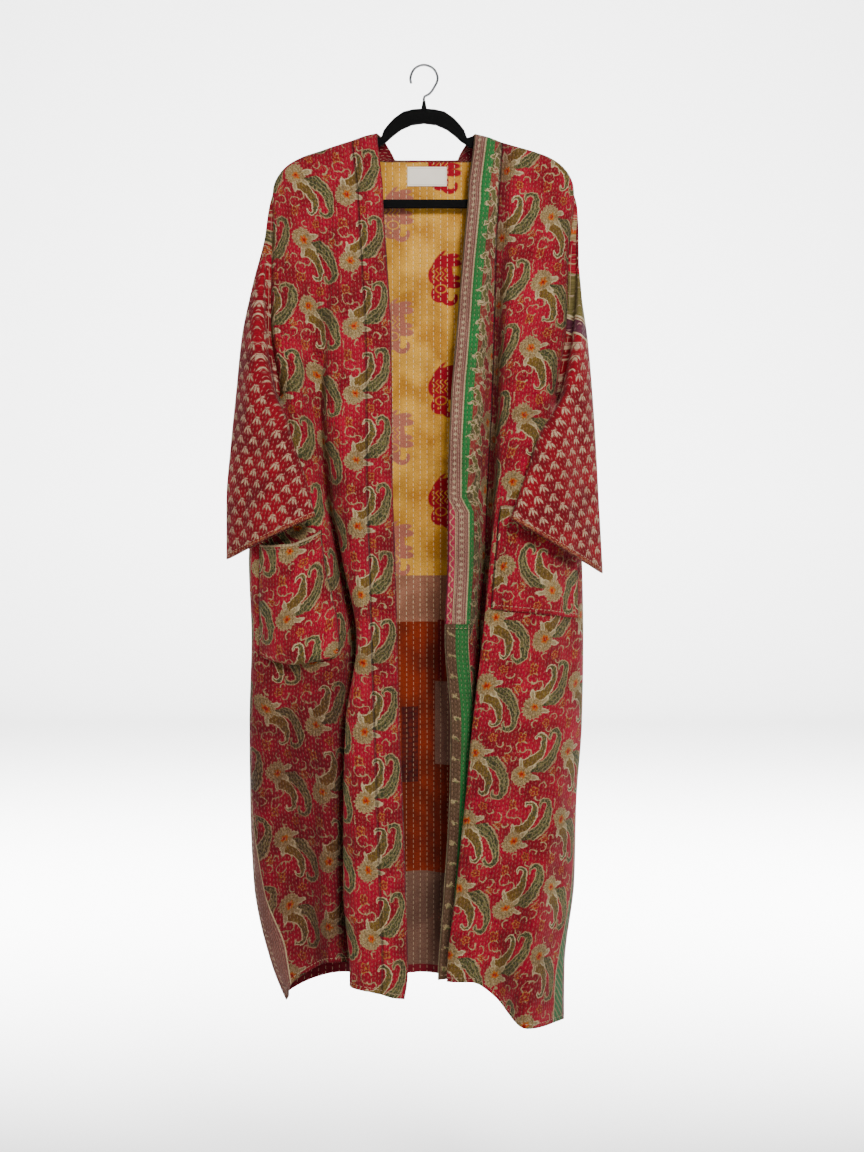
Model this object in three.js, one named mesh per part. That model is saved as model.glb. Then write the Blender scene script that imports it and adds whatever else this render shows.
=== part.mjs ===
// Long quilted kimono robe, open at the front, hanging on a flat hanger with a bar.
// Millimetres, +Z up. The robe's front faces -Y and the wearer's right side is at -X.
// The origin is the underside of the hook's crown, and y = 0 is the hanger's middle plane.
import * as THREE from 'three';

// Driving sizes of the cloth
const CLOTH = 2.4;
const LABEL_CLOTH = 1;
const SEAM_GAP = 0.3;

// Heights that the panels share
const UNDERARM_Z = -477;
const SLIT_Z = -1218;
const NECK_LABEL = { left: -24, right: 33, top: -143, bottom: -171 };

// Rows of points down each panel: beside the armhole, from there to the side slit, and below it
const ARM_ROWS = 12;
const BODY_ROWS = 9;
const HEM_ROWS = 3;

// How the cloth turns over the hanger, and how far down its folds take to form
const SHOULDER_ROLL = 14;
const NECK_SETTLE = 50;
const FOLD_SETTLE = 90;
const ARMHOLE_HALF = 14;
const ROUNDING = 0.6;

// Shoulder line over the hanger, neck to sleeve seam, as the middle of the cloth
const SHOULDER_RIGHT = [
  [-67.5, -98.5], [-84, -103], [-103, -109.5], [-125, -116.5], [-150, -125],
  [-178, -134.5], [-196, -145], [-208, -158], [-215, -171], [-218.5, -186],
].map(([x, z]) => ({ x, z }));
const SHOULDER_LEFT = [
  [73, -99.5], [92, -105], [112, -112], [135, -119], [160, -126.5],
  [182, -135], [198, -146], [208, -158], [214, -171], [216.5, -186],
].map(([x, z]) => ({ x, z }));
const BAND_RIGHT_AT_SHOULDER = 2;
const BAND_LEFT_AT_SHOULDER = 2;

// Fold lines of each panel: their place across (x) and forward (y) at each height
const FRONT_RIGHT = {
  lines: ['side', 'round', 'outerCrest', 'softValley', 'innerCrest', 'deepValley',
    'nearFold', 'nearFace', 'seam'],
  x: [
    { z: -195, at: [-214, -204, -183, -163, -146, -134, -124, -110, -95] },
    { z: -280, at: [-219, -210, -187, -160, -146, -136, -126, -108, -90] },
    { z: -380, at: [-220, -212, -190, -163, -148, -140, -130, -108, -84] },
    { z: -485, at: [-207, -199, -184, -164, -155, -148, -137, -112, -82] },
    { z: -600, at: [-235, -228, -186, -165, -153, -142, -130, -106, -81] },
    { z: -715, at: [-253, -247, -194, -172, -143, -119, -114, -90, -77] },
    { z: -830, at: [-249, -243, -201, -165, -122, -97, -94, -84, -74] },
    { z: -950, at: [-252, -246, -218, -197, -146, -104, -110, -86, -70] },
    { z: -1065, at: [-251, -245, -221, -191, -144, -104, -113, -90, -66] },
    { z: -1180, at: [-246, -240, -219, -177, -139, -103, -113, -90, -62] },
    { z: -1300, at: [-219, -213, -194, -157, -130, -99, -104, -81, -58] },
    { z: -1360, at: [-194, -189, -180, -150, -128, -98, -104, -84, -66] },
  ],
  y: [
    { z: -195, at: [0, -19, -21, -17, -19, -19, -20, -21, -19] },
    { z: -280, at: [0, -24, -26, -20, -24, -23, -25, -27, -24] },
    { z: -380, at: [0, -28, -30, -20, -24, -26, -33, -36, -32] },
    { z: -485, at: [0, -22, -34, -20, -14, -10, -36, -48, -42] },
    { z: -600, at: [0, -16, -36, -28, -16, -4, -40, -58, -50] },
    { z: -715, at: [0, -14, -34, -34, -42, -8, -50, -66, -58] },
    { z: -830, at: [0, -14, -32, -36, -44, -8, -56, -66, -60] },
    { z: -950, at: [0, -14, -32, -22, -38, -10, -56, -72, -64] },
    { z: -1065, at: [0, -14, -34, -18, -36, -8, -58, -76, -68] },
    { z: -1180, at: [0, -14, -36, -16, -36, -8, -60, -80, -70] },
    { z: -1300, at: [0, -16, -34, -14, -36, -8, -60, -80, -72] },
  ],
  hem: [-1350, -1345, -1322, -1303, -1291, -1298, -1318, -1322, -1328],
  stepsBetween: [1, 3, 2, 2, 2, 2, 2, 2],
  slitSpread: -10,
};

const FRONT_LEFT = {
  lines: ['seam', 'hidden', 'near', 'face', 'valley', 'crest', 'round', 'side'],
  x: [
    { z: -195, at: [107, 118, 129, 154, 168, 186, 203, 212] },
    { z: -280, at: [103, 112, 128, 154, 170, 187, 201.5, 208] },
    { z: -380, at: [101, 109, 122, 148, 168, 186, 199, 205] },
    { z: -485, at: [98, 106, 114, 145, 164, 176, 184, 191] },
    { z: -600, at: [92, 101, 107, 139, 168, 191, 209, 216] },
    { z: -715, at: [88, 98, 95, 132, 168, 200, 222, 228] },
    { z: -830, at: [80, 92, 84, 128, 168, 200, 224, 230] },
    { z: -950, at: [84, 94, 70, 117, 157, 197, 221, 228] },
    { z: -1065, at: [80, 90, 59, 103, 142, 186, 213, 220] },
    { z: -1180, at: [74, 84, 47, 84, 116, 161, 208, 217] },
    { z: -1300, at: [66, 76, 34, 67, 103, 142, 191, 202] },
    { z: -1390, at: [65, 75, 32, 67, 101.5, 142, 187, 200] },
  ],
  y: [
    { z: -195, at: [-16, -18, -22, -23, -22, -22, -19, 0] },
    { z: -280, at: [-14, -14, -27, -28, -26, -26, -22, 0] },
    { z: -380, at: [-12, -11, -32, -37, -33, -30, -25, 0] },
    { z: -485, at: [-10, -9, -36, -46, -42, -36, -22, 0] },
    { z: -600, at: [-8, -10, -44, -56, -50, -40, -16, 0] },
    { z: -715, at: [-8, -14, -48, -62, -58, -42, -16, 0] },
    { z: -830, at: [-8, -16, -50, -66, -62, -44, -16, 0] },
    { z: -950, at: [-10, -20, -52, -68, -62, -50, -16, 0] },
    { z: -1065, at: [-12, -24, -54, -68, -64, -58, -18, 0] },
    { z: -1180, at: [-14, -26, -54, -66, -60, -76, -22, 0] },
    { z: -1300, at: [-16, -28, -54, -64, -56, -92, -38, 0] },
    { z: -1390, at: [-16, -28, -54, -64, -54, -98, -48, 0] },
  ],
  hem: [-1312, -1313, -1314, -1313, -1336, -1370, -1373, -1375],
  stepsBetween: [2, 3, 3, 2, 2, 3, 2],
  slitSpread: -14,
};

// The back's lines lie at fractions of the way between the side seams
const BACK = {
  share: [0, 0.03, 0.2, 0.36, 0.5, 0.64, 0.8, 0.97, 1],
  y: [
    { z: -195, at: [0, 18, 20, 16, 15, 16, 20, 18, 0] },
    { z: -280, at: [0, 22, 26, 18, 18, 20, 26, 22, 0] },
    { z: -380, at: [0, 24, 32, 20, 22, 24, 32, 24, 0] },
    { z: -485, at: [0, 16, 36, 22, 28, 24, 38, 16, 0] },
    { z: -600, at: [0, 14, 40, 22, 32, 22, 42, 14, 0] },
    { z: -715, at: [0, 14, 44, 22, 34, 20, 46, 14, 0] },
    { z: -830, at: [0, 14, 46, 20, 36, 20, 48, 14, 0] },
    { z: -950, at: [0, 14, 50, 20, 38, 18, 52, 14, 0] },
    { z: -1065, at: [0, 14, 52, 18, 40, 18, 54, 14, 0] },
    { z: -1180, at: [0, 16, 54, 18, 40, 18, 56, 16, 0] },
    { z: -1300, at: [0, 20, 56, 20, 40, 18, 58, 20, 0] },
  ],
  hem: [-1345, -1340, -1326, -1322, -1322, -1322, -1332, -1358, -1368],
  neckCorners: [0.26, 0.765],
  stepsOutside: 6,
  stepsAtNeck: 12,
  slitSpread: 9,
};

// Cut-out at the back of the neck, where the neck band is sewn on
const NECK_DEPTH = 14;
const BACK_NECK = [
  { share: 0, x: -103, y: 0, z: -109.5 },
  { share: 0.05, x: -98, y: 6, z: -110.8 },
  { share: 0.14, x: -86, y: 12.5, z: -121 },
  { share: 0.22, x: -71, y: NECK_DEPTH, z: -132.5 },
  { share: 0.3, x: -54, y: NECK_DEPTH, z: -136 },
  { share: 0.5, x: 4, y: NECK_DEPTH, z: -136 },
  { share: 0.7, x: 60, y: NECK_DEPTH, z: -136 },
  { share: 0.78, x: 77, y: NECK_DEPTH, z: -133 },
  { share: 0.86, x: 94, y: 12.5, z: -123 },
  { share: 0.95, x: 107, y: 6, z: -113.1 },
  { share: 1, x: 112, y: 0, z: -112 },
];

// Front bands: seam to the front panel, crest and free edge
const BAND_RIGHT = {
  lines: ['seam', 'crest', 'free'],
  x: [
    { z: -195, at: [-95, -78, -59.5] },
    { z: -280, at: [-90, -72, -54] },
    { z: -380, at: [-84, -66, -48] },
    { z: -485, at: [-82, -64, -46] },
    { z: -600, at: [-81, -63, -45] },
    { z: -715, at: [-77, -58, -41] },
    { z: -830, at: [-74, -56, -38] },
    { z: -950, at: [-70, -52, -35] },
    { z: -1065, at: [-66, -48, -30] },
    { z: -1180, at: [-62, -44, -26] },
    { z: -1300, at: [-58, -40, -23] },
    { z: -1360, at: [-66, -48, -32] },
  ],
  y: [
    { z: -195, at: [-19, -23, -14] },
    { z: -280, at: [-24, -27, -16] },
    { z: -380, at: [-32, -34, -22] },
    { z: -485, at: [-42, -43, -32] },
    { z: -600, at: [-50, -50, -40] },
    { z: -715, at: [-58, -57, -46] },
    { z: -830, at: [-60, -60, -50] },
    { z: -950, at: [-64, -62, -52] },
    { z: -1065, at: [-68, -66, -54] },
    { z: -1180, at: [-70, -68, -56] },
    { z: -1300, at: [-72, -69, -58] },
  ],
  hem: [-1328, -1334, -1338],
  stepsBetween: [2, 2],
};
const BAND_LEFT = {
  lines: ['free', 'crest', 'seam'],
  x: [
    { z: -195, at: [64, 86, 107] },
    { z: -280, at: [56, 80, 103] },
    { z: -380, at: [48, 74, 101] },
    { z: -485, at: [39, 68, 98] },
    { z: -600, at: [35, 64, 92] },
    { z: -715, at: [34, 62, 88] },
    { z: -830, at: [30, 55, 80] },
    { z: -950, at: [38, 58, 84] },
    { z: -1065, at: [36, 56, 80] },
    { z: -1180, at: [29, 50, 74] },
    { z: -1300, at: [20, 42, 66] },
  ],
  y: [
    { z: -195, at: [-14, -24, -16] },
    { z: -280, at: [-16, -26, -14] },
    { z: -380, at: [-18, -28, -12] },
    { z: -485, at: [-20, -28, -10] },
    { z: -600, at: [-22, -30, -8] },
    { z: -715, at: [-24, -30, -8] },
    { z: -830, at: [-24, -30, -8] },
    { z: -950, at: [-24, -28, -10] },
    { z: -1065, at: [-24, -28, -12] },
    { z: -1180, at: [-26, -28, -14] },
    { z: -1300, at: [-28, -30, -16] },
  ],
  hem: [-1318, -1315, -1312],
  stepsBetween: [2, 2],
};
// The left band is pieced: its upper strip ends at this row of the panel's rows
const BAND_LEFT_JOIN_ROW = ARM_ROWS + 4;

// Neck band round the back: it stands beside the hanger and is rolled outward behind the neck
const NECK_BAND = {
  drawnBack: 0.6,
  across: [0, 0.12, 0.25, 0.45, 0.7, 1],
  rollAt: 0.25,
  stations: [
    { share: 0, roll: [-94, 0, -106], free: [-67.5, 0, -98.5] },
    { share: 0.08, roll: [-81, 12, -109], free: [-60, 9.5, -102.5] },
    { share: 0.15, roll: [-74, 16, -117], free: [-54, 13, -112] },
    { share: 0.22, roll: [-63, 18.5, -126.5], free: [-47, 16, -123] },
    { share: 0.29, roll: [-50, 19.5, -131.5], free: [-38, 22, -140] },
    { share: 0.36, roll: [-34, 19, -133], free: [-27, 22.5, -160] },
    { share: 0.43, roll: [-16, 18.5, -133.2], free: [-13, 21.5, -168] },
    { share: 0.5, roll: [4, 18.5, -133.2], free: [4, 21, -170] },
    { share: 0.57, roll: [23, 18.5, -133.2], free: [21, 21.5, -168] },
    { share: 0.64, roll: [41, 19, -133], free: [34, 22.5, -160] },
    { share: 0.71, roll: [57, 19.5, -131.5], free: [45, 22, -140] },
    { share: 0.78, roll: [70, 18.5, -126.5], free: [53, 16, -123] },
    { share: 0.85, roll: [81, 16, -118], free: [60, 13, -112] },
    { share: 0.92, roll: [90, 12, -110.5], free: [66, 9.5, -103] },
    { share: 1, roll: [102, 0, -108.5], free: [73, 0, -99.5] },
  ],
};

// Sleeves, from the armhole (along 0) to the cuff (along 1): the fold line on top, the line under
// the arm, how far the middle bows outward, and how far front and back walls stand from the fold plane
const SLEEVE_DRAWN_BACK = 0.35;
const SLEEVE_LEFT = [
  { along: 0, top: [216.5, 0, -186], under: [191, 0, -477], bow: 0, front: 14, back: 14 },
  { along: 0.05, top: [220, -1, -203], under: [196, -8, -488], bow: 9, front: 15, back: 14 },
  { along: 0.14, top: [219, -2, -245], under: [191, -28, -497], bow: 12, front: 18, back: 14 },
  { along: 0.27, top: [224, -4, -317], under: [186, -46, -508], bow: 14, front: 20, back: 9 },
  { along: 0.41, top: [235, -6, -395], under: [171, -56, -527], bow: 10, front: 20, back: 8 },
  { along: 0.56, top: [242, -8, -474], under: [158, -66, -556], bow: 6, front: 20, back: 7 },
  { along: 0.7, top: [247, -10, -553], under: [146, -73, -593], bow: 2, front: 20, back: 6 },
  { along: 0.85, top: [252, -10, -645], under: [134, -78, -626], bow: 0, front: 20, back: 6 },
  { along: 1, top: [257, -10, -735], under: [122, -83, -659], bow: 0, front: 20, back: 5 },
];
const SLEEVE_RIGHT = [
  { along: 0, top: [-218.5, 0, -186], under: [-207, 0, -477], bow: 0, front: 14, back: 14 },
  { along: 0.05, top: [-222.5, -1, -203], under: [-216, -7, -486], bow: 7, front: 15, back: 14 },
  { along: 0.14, top: [-228, -2, -245], under: [-209, -26, -494], bow: 10, front: 18, back: 14 },
  { along: 0.27, top: [-246, -4, -317], under: [-202, -44, -503], bow: 12, front: 20, back: 10 },
  { along: 0.41, top: [-262, -6, -395], under: [-194, -50, -522], bow: 10, front: 20, back: 8 },
  { along: 0.56, top: [-270, -8, -474], under: [-186, -56, -551], bow: 6, front: 20, back: 8 },
  { along: 0.7, top: [-278, -8, -553], under: [-175, -60, -580], bow: 2, front: 20, back: 8 },
  { along: 0.85, top: [-284, -8, -631], under: [-164, -63, -614], bow: 0, front: 21, back: 8 },
  { along: 1, top: [-284, -8, -715], under: [-154, -65, -655], bow: 0, front: 22, back: 8 },
];

// Patch pockets: columns of the front that they cover, and a profile from the mouth down.
// proud is how far the middle stands off the panel, and drop is how far its edge droops there.
const POCKET_OFF = 1;
const POCKET_RIGHT = {
  from: 4 / 3,
  to: 4,
  mouth: [-694, -674],
  foot: [-852, -850],
  profile: [
    { down: 0, proud: 20, drop: 6 },
    { down: 0.12, proud: 18, drop: 4 },
    { down: 0.35, proud: 20, drop: 3 },
    { down: 0.6, proud: 23, drop: 8 },
    { down: 0.8, proud: 23, drop: 18 },
    { down: 0.93, proud: 14, drop: 22 },
    { down: 1, proud: 4, drop: 12 },
  ],
};
const POCKET_LEFT = {
  from: 2 + 1 / 3,
  to: 5 + 2 / 3,
  mouth: [-640, -642],
  foot: [-786, -800],
  profile: [
    { down: 0, proud: 5, drop: 2 },
    { down: 0.3, proud: 4, drop: 0 },
    { down: 0.7, proud: 3, drop: 0 },
    { down: 1, proud: 0, drop: 0 },
  ],
};

// Hanger: a flat moulded arch with arms and a bar, and a bent wire hook
const HANGER_HALF_THICK = 4;
const HANGER_BEVEL = 2.5;
const HANGER_ARCH_OUTER = [[0, -61.5], [16, -62.6], [30, -66], [43, -75], [51.5, -84], [58.5, -93], [62.5, -104]];
const HANGER_ARM = [
  { x: 70, below: 2.3 }, { x: 84, below: 2.7 }, { x: 103, below: 3.9 }, { x: 125, below: 2.3 },
  { x: 150, below: 2.5 }, { x: 178, below: 4 }, { x: 192, below: 6 },
];
const HANGER_END_OUTER = [[202, -160], [206, -173], [206.5, -194], [203, -202], [196, -206]];
const HANGER_HOLE = [
  [18, -86], [32.6, -92.5], [44, -101], [54, -110], [67, -118.5], [84, -124.5], [110, -133.5],
  [150, -147], [176, -157], [188, -165], [193, -174], [194, -186], [190, -193.5],
];
const HANGER_HOLE_TOP = -83.5;
const HOOK_WIRE = 1.8;
const HOOK_INNER = 18;
const COLLAR = { bottom: -61.2, top: -51, bottomRadius: 4, topRadius: 2.2 };

// A smooth line through the values, level at each high and low point so that it never overshoots
function smoothLine(at, values) {
  const last = at.length - 1;
  const span = at.slice(1).map((a, i) => a - at[i]);
  const rise = span.map((s, i) => (values[i + 1] - values[i]) / s);
  const slope = values.map((_, i) => {
    if (i === 0) return rise[0];
    if (i === last) return rise[last - 1];
    if (rise[i - 1] * rise[i] <= 0) return 0;
    return (span[i - 1] + span[i]) / (span[i] / rise[i - 1] + span[i - 1] / rise[i]);
  });
  return (a) => {
    const here = Math.min(Math.max(a, at[0]), at[last]);
    let k = 0;
    while (k < last - 1 && here > at[k + 1]) k += 1;
    const t = (here - at[k]) / span[k];
    const s = 1 - t;
    return values[k] * s * s * (1 + 2 * t) + slope[k] * span[k] * t * s * s
      + values[k + 1] * t * t * (1 + 2 * s) - slope[k + 1] * span[k] * s * t * t;
  };
}

const ease = (t) => {
  const u = Math.min(Math.max(t, 0), 1);
  return u * u * (3 - 2 * u);
};

// How far the cloth has turned down after a given drop, round a quarter circle
const rolled = (drop, radius) => {
  const left = 1 - Math.min(Math.max(drop / radius, 0), 1);
  return Math.sqrt(1 - left * left);
};

// A line of points as a function of the share of its length
function byLength(points) {
  const lengths = [0];
  points.slice(1).forEach((p, i) => {
    lengths.push(lengths[i] + Math.hypot(p.x - points[i].x, p.z - points[i].z));
  });
  const total = lengths[lengths.length - 1];
  const x = smoothLine(lengths, points.map((p) => p.x));
  const z = smoothLine(lengths, points.map((p) => p.z));
  return (share) => ({ x: x(share * total), y: 0, z: z(share * total) });
}

// Lines of a table as functions of height
function linesByHeight(rows) {
  return rows[0].at.map((_, i) => {
    const line = smoothLine(rows.map((row) => -row.z), rows.map((row) => row.at[i]));
    return (z) => line(-z);
  });
}

// Half of the armhole's opening at a height, between the shoulder tip and the underarm
function armholeHalf(z, tipZ) {
  const a = Math.min(Math.max((tipZ - z) / (tipZ - UNDERARM_Z), 0), 1);
  return ARMHOLE_HALF * (2 * Math.sqrt(a * (1 - a))) ** ROUNDING * rolled(tipZ - z, SHOULDER_ROLL);
}

// The side seam's y: the armhole above, closed below it, and open again below the slit
function sideY(z, tipZ, facing, spread) {
  if (z > UNDERARM_Z) return facing * armholeHalf(z, tipZ);
  return z < SLIT_Z ? spread * (SLIT_Z - z) / 100 : 0;
}

// Heights of a column's points from its top edge to its hem
function columnHeights(top, hem) {
  const heights = [];
  for (let j = 0; j < ARM_ROWS; j += 1) {
    heights.push(top + (UNDERARM_Z - top) * (1 - Math.cos((Math.PI * j) / ARM_ROWS)) / 2);
  }
  for (let j = 0; j < BODY_ROWS; j += 1) {
    heights.push(UNDERARM_Z + (SLIT_Z - UNDERARM_Z) * j / BODY_ROWS);
  }
  for (let j = 0; j <= HEM_ROWS; j += 1) {
    heights.push(SLIT_Z + (hem - SLIT_Z) * j / HEM_ROWS);
  }
  return heights;
}

// Places of a panel's columns, as line numbers with steps between
function columnPlaces(stepsBetween) {
  const places = [];
  stepsBetween.forEach((steps, line) => {
    for (let k = 0; k < steps; k += 1) places.push(line + k / steps);
  });
  places.push(stepsBetween.length);
  return places;
}

// A panel whose fold lines are given by x and y at each height, hung from a top edge
function hungPanel(table, topEdge, side) {
  const places = columnPlaces(table.stepsBetween);
  const lineNumbers = table.lines.map((_, i) => i);
  const xLines = linesByHeight(table.x);
  const yLines = linesByHeight(table.y);
  const hemAt = smoothLine(lineNumbers, table.hem);
  const columns = places.map((place) => {
    const top = topEdge(place);
    return columnHeights(top.z, hemAt(place)).map((z) => {
      const xs = xLines.map((line) => line(z));
      const ys = yLines.map((line) => line(z));
      if (side) ys[side.line] = sideY(z, side.tipZ, -1, table.slitSpread);
      const drop = top.z - z;
      const x = THREE.MathUtils.lerp(top.x, smoothLine(lineNumbers, xs)(place), ease(drop / FOLD_SETTLE));
      const y = smoothLine(lineNumbers, ys)(place);
      const atSide = side && place === side.line;
      return new THREE.Vector3(x, atSide ? y : y * rolled(drop, SHOULDER_ROLL), z);
    });
  });
  const rows = columns[0].map((_, j) => columns.map((column) => column[j]));
  return { rows, places, outward: -1 };
}

// Share of the shoulder line where each fold line of a front panel starts
function shoulderStart(table, shoulder, sideLine) {
  const xs = table.x[0].at;
  const lineNumbers = xs.map((_, i) => i);
  const seamLine = xs.length - 1 - sideLine;
  const xAt = smoothLine(lineNumbers, xs);
  const along = byLength(shoulder);
  return (place) => {
    const share = (xAt(place) - xs[seamLine]) / (xs[sideLine] - xs[seamLine]);
    return along(share);
  };
}

function frontRight() {
  const tipZ = SHOULDER_RIGHT[SHOULDER_RIGHT.length - 1].z;
  const topEdge = shoulderStart(FRONT_RIGHT, SHOULDER_RIGHT.slice(BAND_RIGHT_AT_SHOULDER), 0);
  return hungPanel(FRONT_RIGHT, topEdge, { line: 0, tipZ });
}

function frontLeft() {
  const tipZ = SHOULDER_LEFT[SHOULDER_LEFT.length - 1].z;
  const side = FRONT_LEFT.lines.length - 1;
  const topEdge = shoulderStart(FRONT_LEFT, SHOULDER_LEFT.slice(BAND_LEFT_AT_SHOULDER), side);
  return hungPanel(FRONT_LEFT, topEdge, { line: side, tipZ });
}

// A band is sewn to its front panel, so its seam takes the panel's own edge points
function sewnToPanel(band, bandColumn, panel, panelColumn) {
  band.rows.forEach((row, j) => {
    row[bandColumn] = panel.rows[j][panelColumn].clone();
  });
  return band;
}

function bandRight(panel) {
  const along = byLength(SHOULDER_RIGHT.slice(0, BAND_RIGHT_AT_SHOULDER + 1));
  const band = hungPanel(BAND_RIGHT, (place) => along(1 - place / 2));
  return sewnToPanel(band, 0, panel, panel.places.length - 1);
}

function bandLeft(panel) {
  const along = byLength(SHOULDER_LEFT.slice(0, BAND_LEFT_AT_SHOULDER + 1));
  const band = hungPanel(BAND_LEFT, (place) => along(place / 2));
  return sewnToPanel(band, band.places.length - 1, panel, 0);
}

// The back hangs between the two side seams, from both shoulders and the neck edge
function back() {
  const [neckRight, neckLeft] = BACK.neckCorners;
  const shoulderRight = byLength(SHOULDER_RIGHT.slice(BAND_RIGHT_AT_SHOULDER));
  const shoulderLeft = byLength(SHOULDER_LEFT.slice(BAND_LEFT_AT_SHOULDER));
  const neck = neckLine();
  const topEdge = (share) => {
    if (share <= neckRight) return shoulderRight(1 - share / neckRight);
    if (share >= neckLeft) return shoulderLeft((share - neckLeft) / (1 - neckLeft));
    return neck((share - neckRight) / (neckLeft - neckRight));
  };
  const places = [];
  for (let k = 0; k < BACK.stepsOutside; k += 1) places.push(neckRight * (k / BACK.stepsOutside) ** 1.2);
  for (let k = 0; k < BACK.stepsAtNeck; k += 1) {
    places.push(neckRight + (neckLeft - neckRight) * k / BACK.stepsAtNeck);
  }
  for (let k = BACK.stepsOutside; k >= 0; k -= 1) {
    places.push(1 - (1 - neckLeft) * (k / BACK.stepsOutside) ** 1.2);
  }
  const rightSideX = linesByHeight(FRONT_RIGHT.x)[0];
  const leftSideX = linesByHeight(FRONT_LEFT.x)[FRONT_LEFT.lines.length - 1];
  const tipRight = SHOULDER_RIGHT[SHOULDER_RIGHT.length - 1].z;
  const tipLeft = SHOULDER_LEFT[SHOULDER_LEFT.length - 1].z;
  const yLines = linesByHeight(BACK.y);
  const hemAt = smoothLine(BACK.share, BACK.hem);
  const columns = places.map((share) => {
    const top = topEdge(share);
    const neckDepth = top.y / NECK_DEPTH;
    const settle = THREE.MathUtils.lerp(SHOULDER_ROLL, NECK_SETTLE, neckDepth);
    return columnHeights(top.z, hemAt(share)).map((z) => {
      const ys = yLines.map((line) => line(z));
      ys[0] = sideY(z, tipRight, 1, BACK.slitSpread);
      ys[ys.length - 1] = sideY(z, tipLeft, 1, BACK.slitSpread);
      const drop = top.z - z;
      const hungX = THREE.MathUtils.lerp(rightSideX(z), leftSideX(z), share);
      const x = THREE.MathUtils.lerp(top.x, hungX, ease(drop / FOLD_SETTLE));
      const y = smoothLine(BACK.share, ys)(share);
      const atSide = share === 0 || share === 1;
      const settled = atSide ? 1 : rolled(drop, settle);
      return new THREE.Vector3(x, THREE.MathUtils.lerp(top.y, y, settled), z);
    });
  });
  const rows = columns[0].map((_, j) => columns.map((column) => column[j]));
  return { rows, places, outward: 1 };
}

// The neck edge as a function of the share of the way round the back of the neck
function neckLine() {
  const at = BACK_NECK.map((p) => p.share);
  const [x, y, z] = ['x', 'y', 'z'].map((axis) => smoothLine(at, BACK_NECK.map((p) => p[axis])));
  return (share) => ({ x: x(share), y: y(share), z: z(share) });
}

function neckBand() {
  const at = NECK_BAND.stations.map((s) => s.share);
  const line = (name) => [0, 1, 2].map((axis) => smoothLine(at, NECK_BAND.stations.map((s) => s[name][axis])));
  const roll = line('roll');
  const free = line('free');
  const seam = neckLine();
  const stations = [];
  for (let k = 0; k <= BACK.stepsAtNeck; k += 1) {
    const share = k / BACK.stepsAtNeck;
    const start = seam(share);
    const across = [start.x, start.y, start.z].map((value, axis) => smoothLine(
      [0, NECK_BAND.rollAt, 1],
      [value, roll[axis](share), free[axis](share)],
    ));
    stations.push(NECK_BAND.across.map((t) => new THREE.Vector3(...across.map((value) => value(t)))));
  }
  const rows = NECK_BAND.across.map((_, j) => stations.map((station) => station[j]));
  return { rows, outward: -1, drawnBack: NECK_BAND.drawnBack };
}

// A sleeve is a tube of rings; its first ring is the armhole of the front and the back
function sleeve(table, front, backPanel, side) {
  const frontEdge = front.rows.slice(0, ARM_ROWS + 1).map((row) => row[side < 0 ? 0 : row.length - 1]);
  const backEdge = backPanel.rows.slice(0, ARM_ROWS + 1).map((row) => row[side < 0 ? 0 : row.length - 1]);
  const armhole = [...frontEdge, ...backEdge.slice(1, ARM_ROWS).reverse()];
  const rows = table.map((row) => {
    if (row.along === 0) return armhole.map((p) => p.clone());
    const top = new THREE.Vector3(...row.top);
    const reach = new THREE.Vector3(...row.under).sub(top);
    const bowAxis = new THREE.Vector3(-reach.z, 0, reach.x).normalize();
    if (bowAxis.x * side < 0) bowAxis.negate();
    return armhole.map((_, k) => {
      const turn = (Math.PI * k) / ARM_ROWS;
      const a = (1 - Math.cos(turn)) / 2;
      const p = top.clone().addScaledVector(reach, a).addScaledVector(bowAxis, 4 * row.bow * a * (1 - a));
      const wall = k <= ARM_ROWS ? -row.front : row.back;
      p.y = row.top[1] + reach.y * (1 - (1 - a) ** 2) + wall * Math.abs(Math.sin(turn)) ** ROUNDING;
      return p;
    });
  });
  return { rows, closed: true, outward: side, drawnBack: SLEEVE_DRAWN_BACK };
}

const key = (p) => `${p.x.toFixed(3)},${p.y.toFixed(3)},${p.z.toFixed(3)}`;

// Adds a direction to the sum that is kept for a point
function addDirection(sums, p, direction) {
  if (!sums.has(key(p))) sums.set(key(p), new THREE.Vector3());
  sums.get(key(p)).add(direction);
}

// One sheet's outward direction at each of its points
function sheetDirections({ rows, closed, outward }) {
  const sums = new Map();
  const across = rows[0].length;
  const last = closed ? across : across - 1;
  for (let j = 0; j < rows.length - 1; j += 1) {
    for (let i = 0; i < last; i += 1) {
      const corners = [rows[j][i], rows[j][(i + 1) % across], rows[j + 1][(i + 1) % across], rows[j + 1][i]];
      const area = corners[2].clone().sub(corners[0]).cross(corners[3].clone().sub(corners[1]));
      corners.forEach((p) => addDirection(sums, p, area.clone().multiplyScalar(outward)));
    }
  }
  return sums;
}

// Sewn sheets share one outward direction along their seam, with an equal say for each
function outwardDirections(sheets) {
  const shared = new Map();
  sheets.forEach((sheet) => {
    const own = sheetDirections(sheet);
    sheet.rows.flat().forEach((p) => addDirection(shared, p, own.get(key(p)).clone().normalize()));
  });
  return (p) => {
    const direction = shared.get(key(p)).clone();
    // On the shoulder and side seams front and back meet in the plane y = 0
    if (Math.abs(p.y) < 1e-3) direction.y = 0;
    return direction.normalize();
  };
}

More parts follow.
